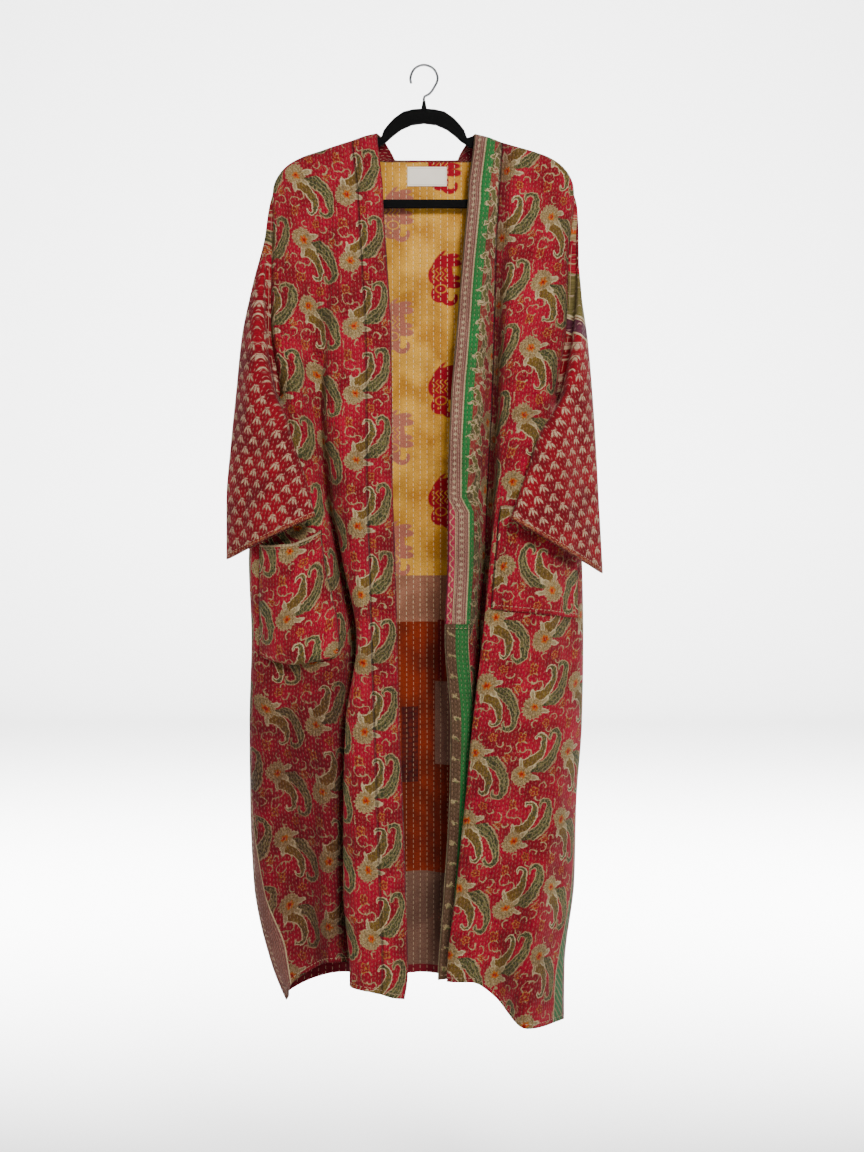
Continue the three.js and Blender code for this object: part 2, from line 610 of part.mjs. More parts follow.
// Draws each edge of a sheet back, square to the edge
function drawnBack(rows, closed, distance) {
  const lastRow = rows.length - 1;
  const lastColumn = rows[0].length - 1;
  const at = (j, i) => {
    const row = rows[Math.min(Math.max(j, 0), lastRow)];
    return row[closed ? (i + lastColumn + 1) % (lastColumn + 1) : Math.min(Math.max(i, 0), lastColumn)];
  };
  const square = (p, inner, before, after) => {
    const along = after.clone().sub(before).normalize();
    const inward = inner.clone().sub(p);
    return inward.addScaledVector(along, -inward.dot(along)).normalize();
  };
  return rows.map((row, j) => row.map((p, i) => {
    const moved = p.clone();
    const innerRow = { 0: 1, [lastRow]: lastRow - 1 }[j];
    const innerColumn = { 0: 1, [lastColumn]: lastColumn - 1 }[i];
    if (innerRow !== undefined) {
      moved.addScaledVector(square(p, at(innerRow, i), at(j, i - 1), at(j, i + 1)), distance);
    }
    if (!closed && innerColumn !== undefined) {
      moved.addScaledVector(square(p, at(j, innerColumn), at(j - 1, i), at(j + 1, i)), distance);
    }
    return moved;
  }));
}

// A closed wall of the given thickness about a sheet's middle points
function wall(sheet, directionAt, thickness) {
  const { rows, closed, outward } = sheet;
  const across = rows[0].length;
  const middle = drawnBack(rows, closed, sheet.drawnBack ?? SEAM_GAP / 2);
  const count = rows.length * across;
  const positions = new Float32Array(count * 6);
  rows.forEach((row, j) => row.forEach((p, i) => {
    const direction = directionAt(p);
    const n = (j * across + i) * 3;
    middle[j][i].clone().addScaledVector(direction, thickness / 2).toArray(positions, n);
    middle[j][i].clone().addScaledVector(direction, -thickness / 2).toArray(positions, n + count * 3);
  }));
  const index = [];
  const face = (a, b, c, d) => {
    const [p, q, r, s] = outward > 0 ? [a, b, c, d] : [d, c, b, a];
    index.push(p, q, r, p, r, s);
  };
  const last = closed ? across : across - 1;
  const bottom = rows.length - 1;
  const outer = (j, i) => j * across + (i % across);
  const inner = (j, i) => outer(j, i) + count;
  for (let j = 0; j < bottom; j += 1) {
    for (let i = 0; i < last; i += 1) {
      face(outer(j, i), outer(j, i + 1), outer(j + 1, i + 1), outer(j + 1, i));
      face(inner(j, i), inner(j + 1, i), inner(j + 1, i + 1), inner(j, i + 1));
    }
    if (!closed) {
      face(outer(j, 0), outer(j + 1, 0), inner(j + 1, 0), inner(j, 0));
      face(outer(j, last), inner(j, last), inner(j + 1, last), outer(j + 1, last));
    }
  }
  for (let i = 0; i < last; i += 1) {
    face(outer(0, i), inner(0, i), inner(0, i + 1), outer(0, i + 1));
    face(outer(bottom, i), outer(bottom, i + 1), inner(bottom, i + 1), inner(bottom, i));
  }
  const geometry = new THREE.BufferGeometry();
  geometry.setAttribute('position', new THREE.BufferAttribute(positions, 3));
  geometry.setIndex(index);
  geometry.computeVertexNormals();
  return geometry;
}

// A point of a panel's own mesh between its rows and columns, with its outward direction
function onPanel(panel, directionAt, place, z) {
  const { rows, places } = panel;
  let i = 0;
  while (i < places.length - 2 && place > places[i + 1]) i += 1;
  const u = (place - places[i]) / (places[i + 1] - places[i]);
  let j = 0;
  while (j < rows.length - 2 && rows[j + 1][i].z > z) j += 1;
  const v = (z - rows[j][i].z) / (rows[j + 1][i].z - rows[j][i].z);
  const blend = (value) => {
    const upper = value(j, i).clone().lerp(value(j, i + 1), u);
    return upper.lerp(value(j + 1, i).clone().lerp(value(j + 1, i + 1), u), v);
  };
  return {
    point: blend((row, column) => rows[row][column]),
    outward: blend((row, column) => directionAt(rows[row][column])).normalize(),
  };
}

// A pocket takes the columns of the panel that it lies on, moved out and bellied forward
function pocket(table, panel, directionAt) {
  const places = [table.from, ...panel.places.filter((p) => p > table.from && p < table.to), table.to];
  const offset = CLOTH + POCKET_OFF;
  const rows = table.profile.map(({ down, proud, drop }) => places.map((place) => {
    const share = (place - table.from) / (table.to - table.from);
    const belly = Math.sin(Math.PI * share) ** ROUNDING;
    const mouth = THREE.MathUtils.lerp(...table.mouth, share);
    const foot = THREE.MathUtils.lerp(...table.foot, share);
    const z = THREE.MathUtils.lerp(mouth, foot, down) - drop * belly;
    const { point, outward } = onPanel(panel, directionAt, place, z);
    point.addScaledVector(outward, offset);
    point.y -= proud * belly;
    return point;
  }));
  return { rows, outward: -1 };
}

// The label lies on the inside of the back, at the neck
function label(panel, directionAt) {
  const inward = (CLOTH + LABEL_CLOTH) / 2 + SEAM_GAP;
  const columns = 4;
  const lines = 3;
  const placeAt = (x, z) => {
    let [low, high] = BACK.neckCorners;
    for (let step = 0; step < 24; step += 1) {
      const middle = (low + high) / 2;
      if (onPanel(panel, directionAt, middle, z).point.x < x) low = middle;
      else high = middle;
    }
    return low;
  };
  const rows = [];
  for (let j = 0; j <= lines; j += 1) {
    const z = THREE.MathUtils.lerp(NECK_LABEL.top, NECK_LABEL.bottom, j / lines);
    const row = [];
    for (let i = 0; i <= columns; i += 1) {
      const x = THREE.MathUtils.lerp(NECK_LABEL.left, NECK_LABEL.right, i / columns);
      const { point, outward } = onPanel(panel, directionAt, placeAt(x, z), z);
      row.push(point.addScaledVector(outward, -inward));
    }
    rows.push(row);
  }
  return { rows, outward: 1 };
}

// The arms follow the lower of the two shoulder lines, so that the cloth rests on them
function hangerArmTop() {
  const height = (shoulder) => {
    const points = shoulder.map(({ x, z }) => ({ x: Math.abs(x), z }));
    return smoothLine(points.map((p) => p.x), points.map((p) => p.z));
  };
  const [right, left] = [height(SHOULDER_RIGHT), height(SHOULDER_LEFT)];
  return HANGER_ARM.map(({ x, below }) => [x, Math.min(right(x), left(x)) - below]);
}

function hangerGeometry() {
  const half = [...HANGER_ARCH_OUTER, ...hangerArmTop(), ...HANGER_END_OUTER];
  const mirrored = half.slice(1).reverse().map(([x, z]) => [-x, z]);
  const toVector = ([x, z]) => new THREE.Vector2(x, z);
  const shape = new THREE.Shape([...half, ...mirrored].map(toVector));
  // The hole runs the other way round from the outline
  const hole = [[0, HANGER_HOLE_TOP], ...HANGER_HOLE.map(([x, z]) => [-x, z]), ...HANGER_HOLE.slice().reverse()];
  shape.holes.push(new THREE.Path(hole.map(toVector)));
  const geometry = new THREE.ExtrudeGeometry(shape, {
    depth: 2 * (HANGER_HALF_THICK - HANGER_BEVEL),
    bevelThickness: HANGER_BEVEL,
    bevelSize: HANGER_BEVEL,
    bevelOffset: -HANGER_BEVEL,
    bevelSegments: 2,
  });
  geometry.translate(0, 0, HANGER_BEVEL - HANGER_HALF_THICK);
  return geometry.rotateX(Math.PI / 2);
}

// The wire runs up from the collar, over the crown and down to its free end
function hookGeometry() {
  const radius = HOOK_INNER + HOOK_WIRE;
  const path = new THREE.CatmullRomCurve3([
    new THREE.Vector3(0, 0, COLLAR.top + SEAM_GAP),
    new THREE.Vector3(0, 0, -45),
    new THREE.Vector3(8, 0, -40),
    ...[-0.25, 0, 0.25, 0.5, 0.75, 1, 1.12].map((turn) => new THREE.Vector3(
      radius * Math.cos(Math.PI * turn),
      0,
      radius * Math.sin(Math.PI * turn) - HOOK_INNER,
    )),
  ]);
  const section = new THREE.Shape();
  section.absarc(0, 0, HOOK_WIRE, 0, 2 * Math.PI);
  return new THREE.ExtrudeGeometry(section, { steps: 32, curveSegments: 2, extrudePath: path });
}

function collarGeometry() {
  const profile = [
    new THREE.Vector2(0, COLLAR.bottom),
    new THREE.Vector2(COLLAR.bottomRadius, COLLAR.bottom),
    new THREE.Vector2(COLLAR.topRadius, COLLAR.top),
    new THREE.Vector2(0, COLLAR.top),
  ];
  return new THREE.LatheGeometry(profile, 16).rotateX(Math.PI / 2);
}

// Finishes: block-printed quilted cotton, woven label, flocked hanger and steel wire
const finish = (color, roughness, metalness = 0) => new THREE.MeshStandardMaterial({
  color, roughness, metalness, side: THREE.DoubleSide,
});
const redPaisley = finish(0x9c1226, 0.9);
const burgundyPrint = finish(0x8a1f28, 0.9);
const stripedBorder = finish(0x7d6a52, 0.9);
const labelWhite = finish(0xdcd5c8, 0.8);
const hangerBlack = finish(0x0b0b0c, 0.85);
const wireSteel = finish(0xb9bcc0, 0.3, 1);

const robe = new THREE.Group();
function add(name, geometry, material) {
  const mesh = new THREE.Mesh(geometry, material);
  mesh.name = name;
  robe.add(mesh);
}

const rightPanel = frontRight();
const leftPanel = frontLeft();
const backPanel = back();
const leftStrip = bandLeft(leftPanel);
const sewn = {
  back: backPanel,
  front_right: rightPanel,
  front_left: leftPanel,
  band_right: bandRight(rightPanel),
  band_left_upper: { ...leftStrip, rows: leftStrip.rows.slice(0, BAND_LEFT_JOIN_ROW + 1) },
  band_left_lower: { ...leftStrip, rows: leftStrip.rows.slice(BAND_LEFT_JOIN_ROW) },
  band_back_neck: neckBand(),
  sleeve_right: sleeve(SLEEVE_RIGHT, rightPanel, backPanel, -1),
  sleeve_left: sleeve(SLEEVE_LEFT, leftPanel, backPanel, 1),
};
const sewnDirection = outwardDirections(Object.values(sewn));
const clothOf = { sleeve_right: burgundyPrint, sleeve_left: burgundyPrint };
['band_left_upper', 'band_left_lower', 'band_back_neck'].forEach((name) => { clothOf[name] = stripedBorder; });
Object.entries(sewn).forEach(([name, sheet]) => {
  add(name, wall(sheet, sewnDirection, CLOTH), clothOf[name] ?? redPaisley);
});

const laidOn = {
  pocket_right: pocket(POCKET_RIGHT, rightPanel, sewnDirection),
  pocket_left: pocket(POCKET_LEFT, leftPanel, sewnDirection),
};
Object.entries(laidOn).forEach(([name, sheet]) => {
  add(name, wall(sheet, outwardDirections([sheet]), CLOTH), redPaisley);
});
const neckLabel = label(backPanel, sewnDirection);
add('neck_label', wall(neckLabel, outwardDirections([neckLabel]), LABEL_CLOTH), labelWhite);

add('hanger', hangerGeometry(), hangerBlack);
add('hook_collar', collarGeometry(), hangerBlack);
add('hanger_hook', hookGeometry(), wireSteel);

export default robe;
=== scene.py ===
# A long quilted kimono robe of block-printed cotton, hanging open on a flat hanger.
# Metres, +Z up. The robe's front faces -Y and the wearer's right side is at -X.
# Sizes of the cloth are written in millimetres and turned to metres when a sheet is made.
import math

import bpy
import mathutils
import numpy as np
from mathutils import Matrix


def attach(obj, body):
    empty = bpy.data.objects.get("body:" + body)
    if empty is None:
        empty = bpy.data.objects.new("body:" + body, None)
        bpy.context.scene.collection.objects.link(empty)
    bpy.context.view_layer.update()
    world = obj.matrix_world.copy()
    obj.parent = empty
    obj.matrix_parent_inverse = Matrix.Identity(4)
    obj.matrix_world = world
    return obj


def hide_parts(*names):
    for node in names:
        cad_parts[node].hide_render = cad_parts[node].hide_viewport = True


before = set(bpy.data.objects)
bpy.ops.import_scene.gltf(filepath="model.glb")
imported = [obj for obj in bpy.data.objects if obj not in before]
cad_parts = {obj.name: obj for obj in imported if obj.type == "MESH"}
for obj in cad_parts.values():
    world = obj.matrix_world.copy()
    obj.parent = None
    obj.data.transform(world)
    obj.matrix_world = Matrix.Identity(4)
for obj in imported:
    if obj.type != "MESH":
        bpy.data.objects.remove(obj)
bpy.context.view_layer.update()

MM = 0.001

# Thickness of the cloths, the label's gap, and how far apart the points of a sheet lie
CLOTH = 2.4
LABEL_CLOTH = 1
SEAM_GAP = 0.3
STEP = 4.6

# Heights that the panels share, and the rows of points between them
UNDERARM_Z = -477
SLIT_Z = -1218
ARM_ROWS = 76
BODY_ROWS = 150
HEM_ROWS = 26
FAR = 500

# How the cloth turns over the hanger, and how far down its folds take to form
SHOULDER_ROLL = 14
NECK_SETTLE = 50
FOLD_SETTLE = 90
ARMHOLE_HALF = 14
ROUNDING = 0.6

# Shoulder line over the hanger, neck to sleeve seam, as (x, z) of the middle of the cloth
SHOULDER_RIGHT = (
    (-67.5, -98.5), (-84, -103), (-103, -109.5), (-125, -116.5), (-150, -125),
    (-178, -134.5), (-196, -145), (-208, -158), (-215, -171), (-218.5, -186),
)
SHOULDER_LEFT = (
    (73, -99.5), (92, -105), (112, -112), (135, -119), (160, -126.5),
    (182, -135), (198, -146), (208, -158), (214, -171), (216.5, -186),
)
BAND_AT_SHOULDER = 2

# Fold lines of each panel: their x and y at each height
FRONT_RIGHT = {
    "x": {
        -195: (-214, -204, -183, -163, -146, -134, -124, -110, -95),
        -280: (-219, -210, -187, -160, -146, -136, -126, -108, -90),
        -380: (-220, -212, -190, -163, -148, -140, -130, -108, -84),
        -485: (-207, -199, -184, -164, -155, -148, -137, -112, -82),
        -600: (-235, -228, -186, -165, -153, -142, -130, -106, -81),
        -715: (-253, -247, -194, -172, -143, -119, -114, -90, -77),
        -830: (-249, -243, -201, -165, -122, -97, -94, -84, -74),
        -950: (-252, -246, -218, -197, -146, -104, -110, -86, -70),
        -1065: (-251, -245, -221, -191, -144, -104, -113, -90, -66),
        -1180: (-246, -240, -219, -177, -139, -103, -113, -90, -62),
        -1300: (-219, -213, -194, -157, -130, -99, -104, -81, -58),
        -1360: (-194, -189, -180, -150, -128, -98, -104, -84, -66),
    },
    "y": {
        -195: (0, -19, -21, -17, -19, -19, -20, -21, -19),
        -280: (0, -24, -26, -20, -24, -23, -25, -27, -24),
        -380: (0, -28, -30, -20, -24, -26, -33, -36, -32),
        -485: (0, -22, -34, -20, -14, -10, -36, -48, -42),
        -600: (0, -16, -36, -28, -16, -4, -40, -58, -50),
        -715: (0, -14, -34, -34, -42, -8, -50, -66, -58),
        -830: (0, -14, -32, -36, -44, -8, -56, -66, -60),
        -950: (0, -14, -32, -22, -38, -10, -56, -72, -64),
        -1065: (0, -14, -34, -18, -36, -8, -58, -76, -68),
        -1180: (0, -14, -36, -16, -36, -8, -60, -80, -70),
        -1300: (0, -16, -34, -14, -36, -8, -60, -80, -72),
    },
    "hem": (-1350, -1345, -1322, -1303, -1291, -1298, -1318, -1322, -1328),
    "side": 0,
    "slit_spread": -10,
}
FRONT_LEFT = {
    "x": {
        -195: (107, 118, 129, 154, 168, 186, 203, 212),
        -280: (103, 112, 128, 154, 170, 187, 201.5, 208),
        -380: (101, 109, 122, 148, 168, 186, 199, 205),
        -485: (98, 106, 114, 145, 164, 176, 184, 191),
        -600: (92, 101, 107, 139, 168, 191, 209, 216),
        -715: (88, 98, 95, 132, 168, 200, 222, 228),
        -830: (80, 92, 84, 128, 168, 200, 224, 230),
        -950: (84, 94, 70, 117, 157, 197, 221, 228),
        -1065: (80, 90, 59, 103, 142, 186, 213, 220),
        -1180: (74, 84, 47, 84, 116, 161, 208, 217),
        -1300: (66, 76, 34, 67, 103, 142, 191, 202),
        -1390: (65, 75, 32, 67, 101.5, 142, 187, 200),
    },
    "y": {
        -195: (-16, -18, -22, -23, -22, -22, -19, 0),
        -280: (-14, -14, -27, -28, -26, -26, -22, 0),
        -380: (-12, -11, -32, -37, -33, -30, -25, 0),
        -485: (-10, -9, -36, -46, -42, -36, -22, 0),
        -600: (-8, -10, -44, -56, -50, -40, -16, 0),
        -715: (-8, -14, -48, -62, -58, -42, -16, 0),
        -830: (-8, -16, -50, -66, -62, -44, -16, 0),
        -950: (-10, -20, -52, -68, -62, -50, -16, 0),
        -1065: (-12, -24, -54, -68, -64, -58, -18, 0),
        -1180: (-14, -26, -54, -66, -60, -76, -22, 0),
        -1300: (-16, -28, -54, -64, -56, -92, -38, 0),
        -1390: (-16, -28, -54, -64, -54, -98, -48, 0),
    },
    "hem": (-1312, -1313, -1314, -1313, -1336, -1370, -1373, -1375),
    "side": 7,
    "slit_spread": -14,
}

# The back's lines lie at shares of the way between the side seams
BACK_SHARE = (0, 0.03, 0.2, 0.36, 0.5, 0.64, 0.8, 0.97, 1)
BACK_Y = {
    -195: (0, 18, 20, 16, 15, 16, 20, 18, 0),
    -280: (0, 22, 26, 18, 18, 20, 26, 22, 0),
    -380: (0, 24, 32, 20, 22, 24, 32, 24, 0),
    -485: (0, 16, 36, 22, 28, 24, 38, 16, 0),
    -600: (0, 14, 40, 22, 32, 22, 42, 14, 0),
    -715: (0, 14, 44, 22, 34, 20, 46, 14, 0),
    -830: (0, 14, 46, 20, 36, 20, 48, 14, 0),
    -950: (0, 14, 50, 20, 38, 18, 52, 14, 0),
    -1065: (0, 14, 52, 18, 40, 18, 54, 14, 0),
    -1180: (0, 16, 54, 18, 40, 18, 56, 16, 0),
    -1300: (0, 20, 56, 20, 40, 18, 58, 20, 0),
}
BACK_HEM = (-1345, -1340, -1326, -1322, -1322, -1322, -1332, -1358, -1368)
BACK_SLIT_SPREAD = 9
NECK_CORNERS = (0.26, 0.765)

# Cut-out at the back of the neck: share of the way round, then the point
BACK_NECK = (
    (0, -103, 0, -109.5), (0.05, -98, 6, -110.8), (0.14, -86, 12.5, -121), (0.22, -71, 14, -132.5),
    (0.3, -54, 14, -136), (0.5, 4, 14, -136), (0.7, 60, 14, -136), (0.78, 77, 14, -133),
    (0.86, 94, 12.5, -123), (0.95, 107, 6, -113.1), (1, 112, 0, -112),
)
NECK_DEPTH = 14

# Front bands: seam to the front panel, crest and free edge
BAND_RIGHT = {
    "x": {
        -195: (-95, -78, -59.5), -280: (-90, -72, -54), -380: (-84, -66, -48),
        -485: (-82, -64, -46), -600: (-81, -63, -45), -715: (-77, -58, -41),
        -830: (-74, -56, -38), -950: (-70, -52, -35), -1065: (-66, -48, -30),
        -1180: (-62, -44, -26), -1300: (-58, -40, -23), -1360: (-66, -48, -32),
    },
    "y": {
        -195: (-19, -23, -14), -280: (-24, -27, -16), -380: (-32, -34, -22),
        -485: (-42, -43, -32), -600: (-50, -50, -40), -715: (-58, -57, -46),
        -830: (-60, -60, -50), -950: (-64, -62, -52), -1065: (-68, -66, -54),
        -1180: (-70, -68, -56), -1300: (-72, -69, -58),
    },
    "hem": (-1328, -1334, -1338),
}
BAND_LEFT = {
    "x": {
        -195: (64, 86, 107), -280: (56, 80, 103), -380: (48, 74, 101),
        -485: (39, 68, 98), -600: (35, 64, 92), -715: (34, 62, 88),
        -830: (30, 55, 80), -950: (38, 58, 84), -1065: (36, 56, 80),
        -1180: (29, 50, 74), -1300: (20, 42, 66),
    },
    "y": {
        -195: (-14, -24, -16), -280: (-16, -26, -14), -380: (-18, -28, -12),
        -485: (-20, -28, -10), -600: (-22, -30, -8), -715: (-24, -30, -8),
        -830: (-24, -30, -8), -950: (-24, -28, -10), -1065: (-24, -28, -12),
        -1180: (-26, -28, -14), -1300: (-28, -30, -16),
    },
    "hem": (-1318, -1315, -1312),
}
# The left band is pieced: its upper strip ends this share of the way from the underarm to the slit
BAND_JOIN_SHARE = 4 / 9

# Neck band round the back: share of the way round, its rolled top and its free edge
NECK_BAND = (
    (0, (-94, 0, -106), (-67.5, 0, -98.5)),
    (0.08, (-81, 12, -109), (-60, 9.5, -102.5)),
    (0.15, (-74, 16, -117), (-54, 13, -112)),
    (0.22, (-63, 18.5, -126.5), (-47, 16, -123)),
    (0.29, (-50, 19.5, -131.5), (-38, 22, -140)),
    (0.36, (-34, 19, -133), (-27, 22.5, -160)),
    (0.43, (-16, 18.5, -133.2), (-13, 21.5, -168)),
    (0.5, (4, 18.5, -133.2), (4, 21, -170)),
    (0.57, (23, 18.5, -133.2), (21, 21.5, -168)),
    (0.64, (41, 19, -133), (34, 22.5, -160)),
    (0.71, (57, 19.5, -131.5), (45, 22, -140)),
    (0.78, (70, 18.5, -126.5), (53, 16, -123)),
    (0.85, (81, 16, -118), (60, 13, -112)),
    (0.92, (90, 12, -110.5), (66, 9.5, -103)),
    (1, (102, 0, -108.5), (73, 0, -99.5)),
)
NECK_ROLL_AT = 0.25
NECK_STATIONS = 72
NECK_ACROSS = 14

# Sleeves from armhole to cuff: along, the fold on top, the line under the arm, how far the middle
# bows outward, and how far the front and back walls stand from the fold plane
SLEEVE_LEFT = (
    (0, (216.5, 0, -186), (191, 0, -477), 0, 14, 14),
    (0.05, (220, -1, -203), (196, -8, -488), 9, 15, 14),
    (0.14, (219, -2, -245), (191, -28, -497), 12, 18, 14),
    (0.27, (224, -4, -317), (186, -46, -508), 14, 20, 9),
    (0.41, (235, -6, -395), (171, -56, -527), 10, 20, 8),
    (0.56, (242, -8, -474), (158, -66, -556), 6, 20, 7),
    (0.7, (247, -10, -553), (146, -73, -593), 2, 20, 6),
    (0.85, (252, -10, -645), (134, -78, -626), 0, 20, 6),
    (1, (257, -10, -735), (122, -83, -659), 0, 20, 5),
)
SLEEVE_RIGHT = (
    (0, (-218.5, 0, -186), (-207, 0, -477), 0, 14, 14),
    (0.05, (-222.5, -1, -203), (-216, -7, -486), 7, 15, 14),
    (0.14, (-228, -2, -245), (-209, -26, -494), 10, 18, 14),
    (0.27, (-246, -4, -317), (-202, -44, -503), 12, 20, 10),
    (0.41, (-262, -6, -395), (-194, -50, -522), 10, 20, 8),
    (0.56, (-270, -8, -474), (-186, -56, -551), 6, 20, 8),
    (0.7, (-278, -8, -553), (-175, -60, -580), 2, 20, 8),
    (0.85, (-284, -8, -631), (-164, -63, -614), 0, 21, 8),
    (1, (-284, -8, -715), (-154, -65, -655), 0, 22, 8),
)
SLEEVE_ROWS = 118
ARMHOLE_SETTLE = 0.1

# Patch pockets: the fold lines that they span, mouth and foot heights at both sides, and a
# profile from the mouth down: share, how proud of the panel, and how far the edge droops
POCKET_OFF = 1
POCKET_RIGHT = {
    "from": 4 / 3, "to": 4, "mouth": (-694, -674), "foot": (-852, -850),
    "profile": (
        (0, 20, 6), (0.12, 18, 4), (0.35, 20, 3), (0.6, 23, 8), (0.8, 23, 18), (0.93, 14, 22), (1, 4, 12),
    ),
}
POCKET_LEFT = {
    "from": 2 + 1 / 3, "to": 5 + 2 / 3, "mouth": (-640, -642), "foot": (-786, -800),
    "profile": ((0, 5, 2), (0.3, 4, 0), (0.7, 3, 0), (1, 0, 0)),
}
NECK_LABEL = {"left": -24, "right": 33, "top": -143, "bottom": -171}


# Camera, at the photograph's viewing angle
def add_camera():
    data = bpy.data.cameras.new("camera")
    data.sensor_width = 36
    data.lens = 53.9
    camera = bpy.data.objects.new("camera", data)
    camera.location = (0.0116, -2.5, -0.739)
    camera.rotation_euler = (math.radians(90), 0, 0)
    bpy.context.scene.collection.objects.link(camera)
    bpy.context.scene.camera = camera


# Lines through a table's values
def smooth_line(at, values, where):
    """A smooth line through the values, level at each high and low point, so it never overshoots."""
    at, values = np.asarray(at, float), np.asarray(values, float)
    extra = (1,) * (values.ndim - 1)
    span = np.diff(at).reshape(-1, *extra)
    rise = np.diff(values, axis=0) / span
    before, after = rise[:-1], rise[1:]
    turns = before * after <= 0
    mean = (span[:-1] + span[1:]) / (
        span[1:] / np.where(turns, 1, before) + span[:-1] / np.where(turns, 1, after)
    )
    slope = np.concatenate([rise[:1], np.where(turns, 0, mean), rise[-1:]])
    here = np.clip(np.atleast_1d(where).astype(float), at[0], at[-1])
    k = np.clip(np.searchsorted(at, here, side="right") - 1, 0, len(at) - 2)
    t = ((here - at[k]) / np.diff(at)[k]).reshape(-1, *extra)
    s = 1 - t
    return (
        values[k] * s * s * (1 + 2 * t)
        + slope[k] * span[k] * t * s * s
        + values[k + 1] * t * t * (1 + 2 * s)
        - slope[k + 1] * span[k] * s * t * t
    )


def ease(t):
    u = np.clip(t, 0, 1)
    return u * u * (3 - 2 * u)


def rolled(drop, radius):
    """How far the cloth has turned down after a given drop, round a quarter circle."""
    left = 1 - np.clip(drop / radius, 0, 1)
    return np.sqrt(1 - left * left)


def lines_at(rows, z):
    """Every line's value at the heights z, as an array of heights by lines."""
    return smooth_line([-height for height in rows], list(rows.values()), -z)


def along_line(points, shares):
    """Points at shares of the length of a line of (x, z) points, with y = 0."""
    points = np.array(points, float)
    lengths = np.append(0, np.cumsum(np.linalg.norm(np.diff(points, axis=0), axis=1)))
    x, z = smooth_line(lengths, points, np.atleast_1d(shares) * lengths[-1]).T
    return np.stack([x, np.zeros_like(x), z], axis=1)


# The robe's panels, as grids of points on the middle of the cloth
def column_heights(top, hem):
    arm = top + (UNDERARM_Z - top) * (1 - np.cos(np.pi * np.arange(ARM_ROWS) / ARM_ROWS)) / 2
    body = UNDERARM_Z + (SLIT_Z - UNDERARM_Z) * np.arange(BODY_ROWS) / BODY_ROWS
    foot = SLIT_Z + (hem - SLIT_Z) * np.arange(HEM_ROWS + 1) / HEM_ROWS
    return np.concatenate([arm, body, foot])


def side_y(z, tip_z, facing, spread):
    """The side seam's y: the armhole above, closed below it, and open again below the slit."""
    a = np.clip((tip_z - z) / (tip_z - UNDERARM_Z), 0, 1)
    half = ARMHOLE_HALF * (2 * np.sqrt(a * (1 - a))) ** ROUNDING * rolled(tip_z - z, SHOULDER_ROLL)
    slit = np.where(z < SLIT_Z, spread * (SLIT_Z - z) / 100, 0)
    return np.where(z > UNDERARM_Z, facing * half, slit)


def column_places(table):
    """Places across a panel as line numbers, so that no two columns are much over STEP apart."""
    z = np.linspace(-195, -1300, 12)
    line = np.stack([lines_at(table["x"], z), lines_at(table["y"], z)], axis=2)
    widest = np.linalg.norm(np.diff(line, axis=1), axis=2).max(axis=0)
    steps = np.maximum(2, np.round(widest / STEP)).astype(int)
    places = [i + np.arange(n) / n for i, n in enumerate(steps)]
    return np.append(np.concatenate(places), len(steps))


def hung_panel(table, top_edge, tip_z=None):
    """A panel whose fold lines are given by x and y at each height, hung from a top edge."""
    places = column_places(table)
    numbers = range(len(table["hem"]))
    hems = smooth_line(numbers, table["hem"], places)
    columns = []
    for place, hem, top in zip(places, hems, top_edge(places)):
        z = column_heights(top[2], hem)
        xs, ys = lines_at(table["x"], z), lines_at(table["y"], z)
        at_side = "side" in table and place == table["side"]
        if "side" in table:
            ys[:, table["side"]] = side_y(z, tip_z, -1, table["slit_spread"])
        drop = top[2] - z
        hung = smooth_line(numbers, xs.T, place)[0]
        x = top[0] + (hung - top[0]) * ease(drop / FOLD_SETTLE)
        y = smooth_line(numbers, ys.T, place)[0]
        if not at_side:
            y = y * rolled(drop, SHOULDER_ROLL)
        columns.append(np.stack([x, y, z], axis=1))
    return {"points": np.stack(columns, axis=1), "places": places}


def shoulder_start(table, shoulder):
    """Where each place of a front panel starts on the shoulder line."""
    xs = table["x"][-195]
    side = table["side"]
    seam = len(xs) - 1 - side
    def top_edge(places):
        x = smooth_line(range(len(xs)), xs, places)
        return along_line(shoulder[BAND_AT_SHOULDER:], (x - xs[seam]) / (xs[side] - xs[seam]))
    return top_edge


def front_panel(table, shoulder):
    return hung_panel(table, shoulder_start(table, shoulder), shoulder[-1][1])


def front_band(table, shoulder, panel, seam):
    """A band is sewn to its front panel, so its seam takes the panel's own edge points."""
    part = shoulder[:BAND_AT_SHOULDER + 1]
    band = hung_panel(table, lambda places: along_line(part, 1 - places / 2 if seam == 0 else places / 2))
    band["points"][:, seam] = panel["points"][:, -1 if seam == 0 else 0]
    return band


def neck_line(shares):
    table = np.array(BACK_NECK, float)
    return smooth_line(table[:, 0], table[:, 1:], shares)


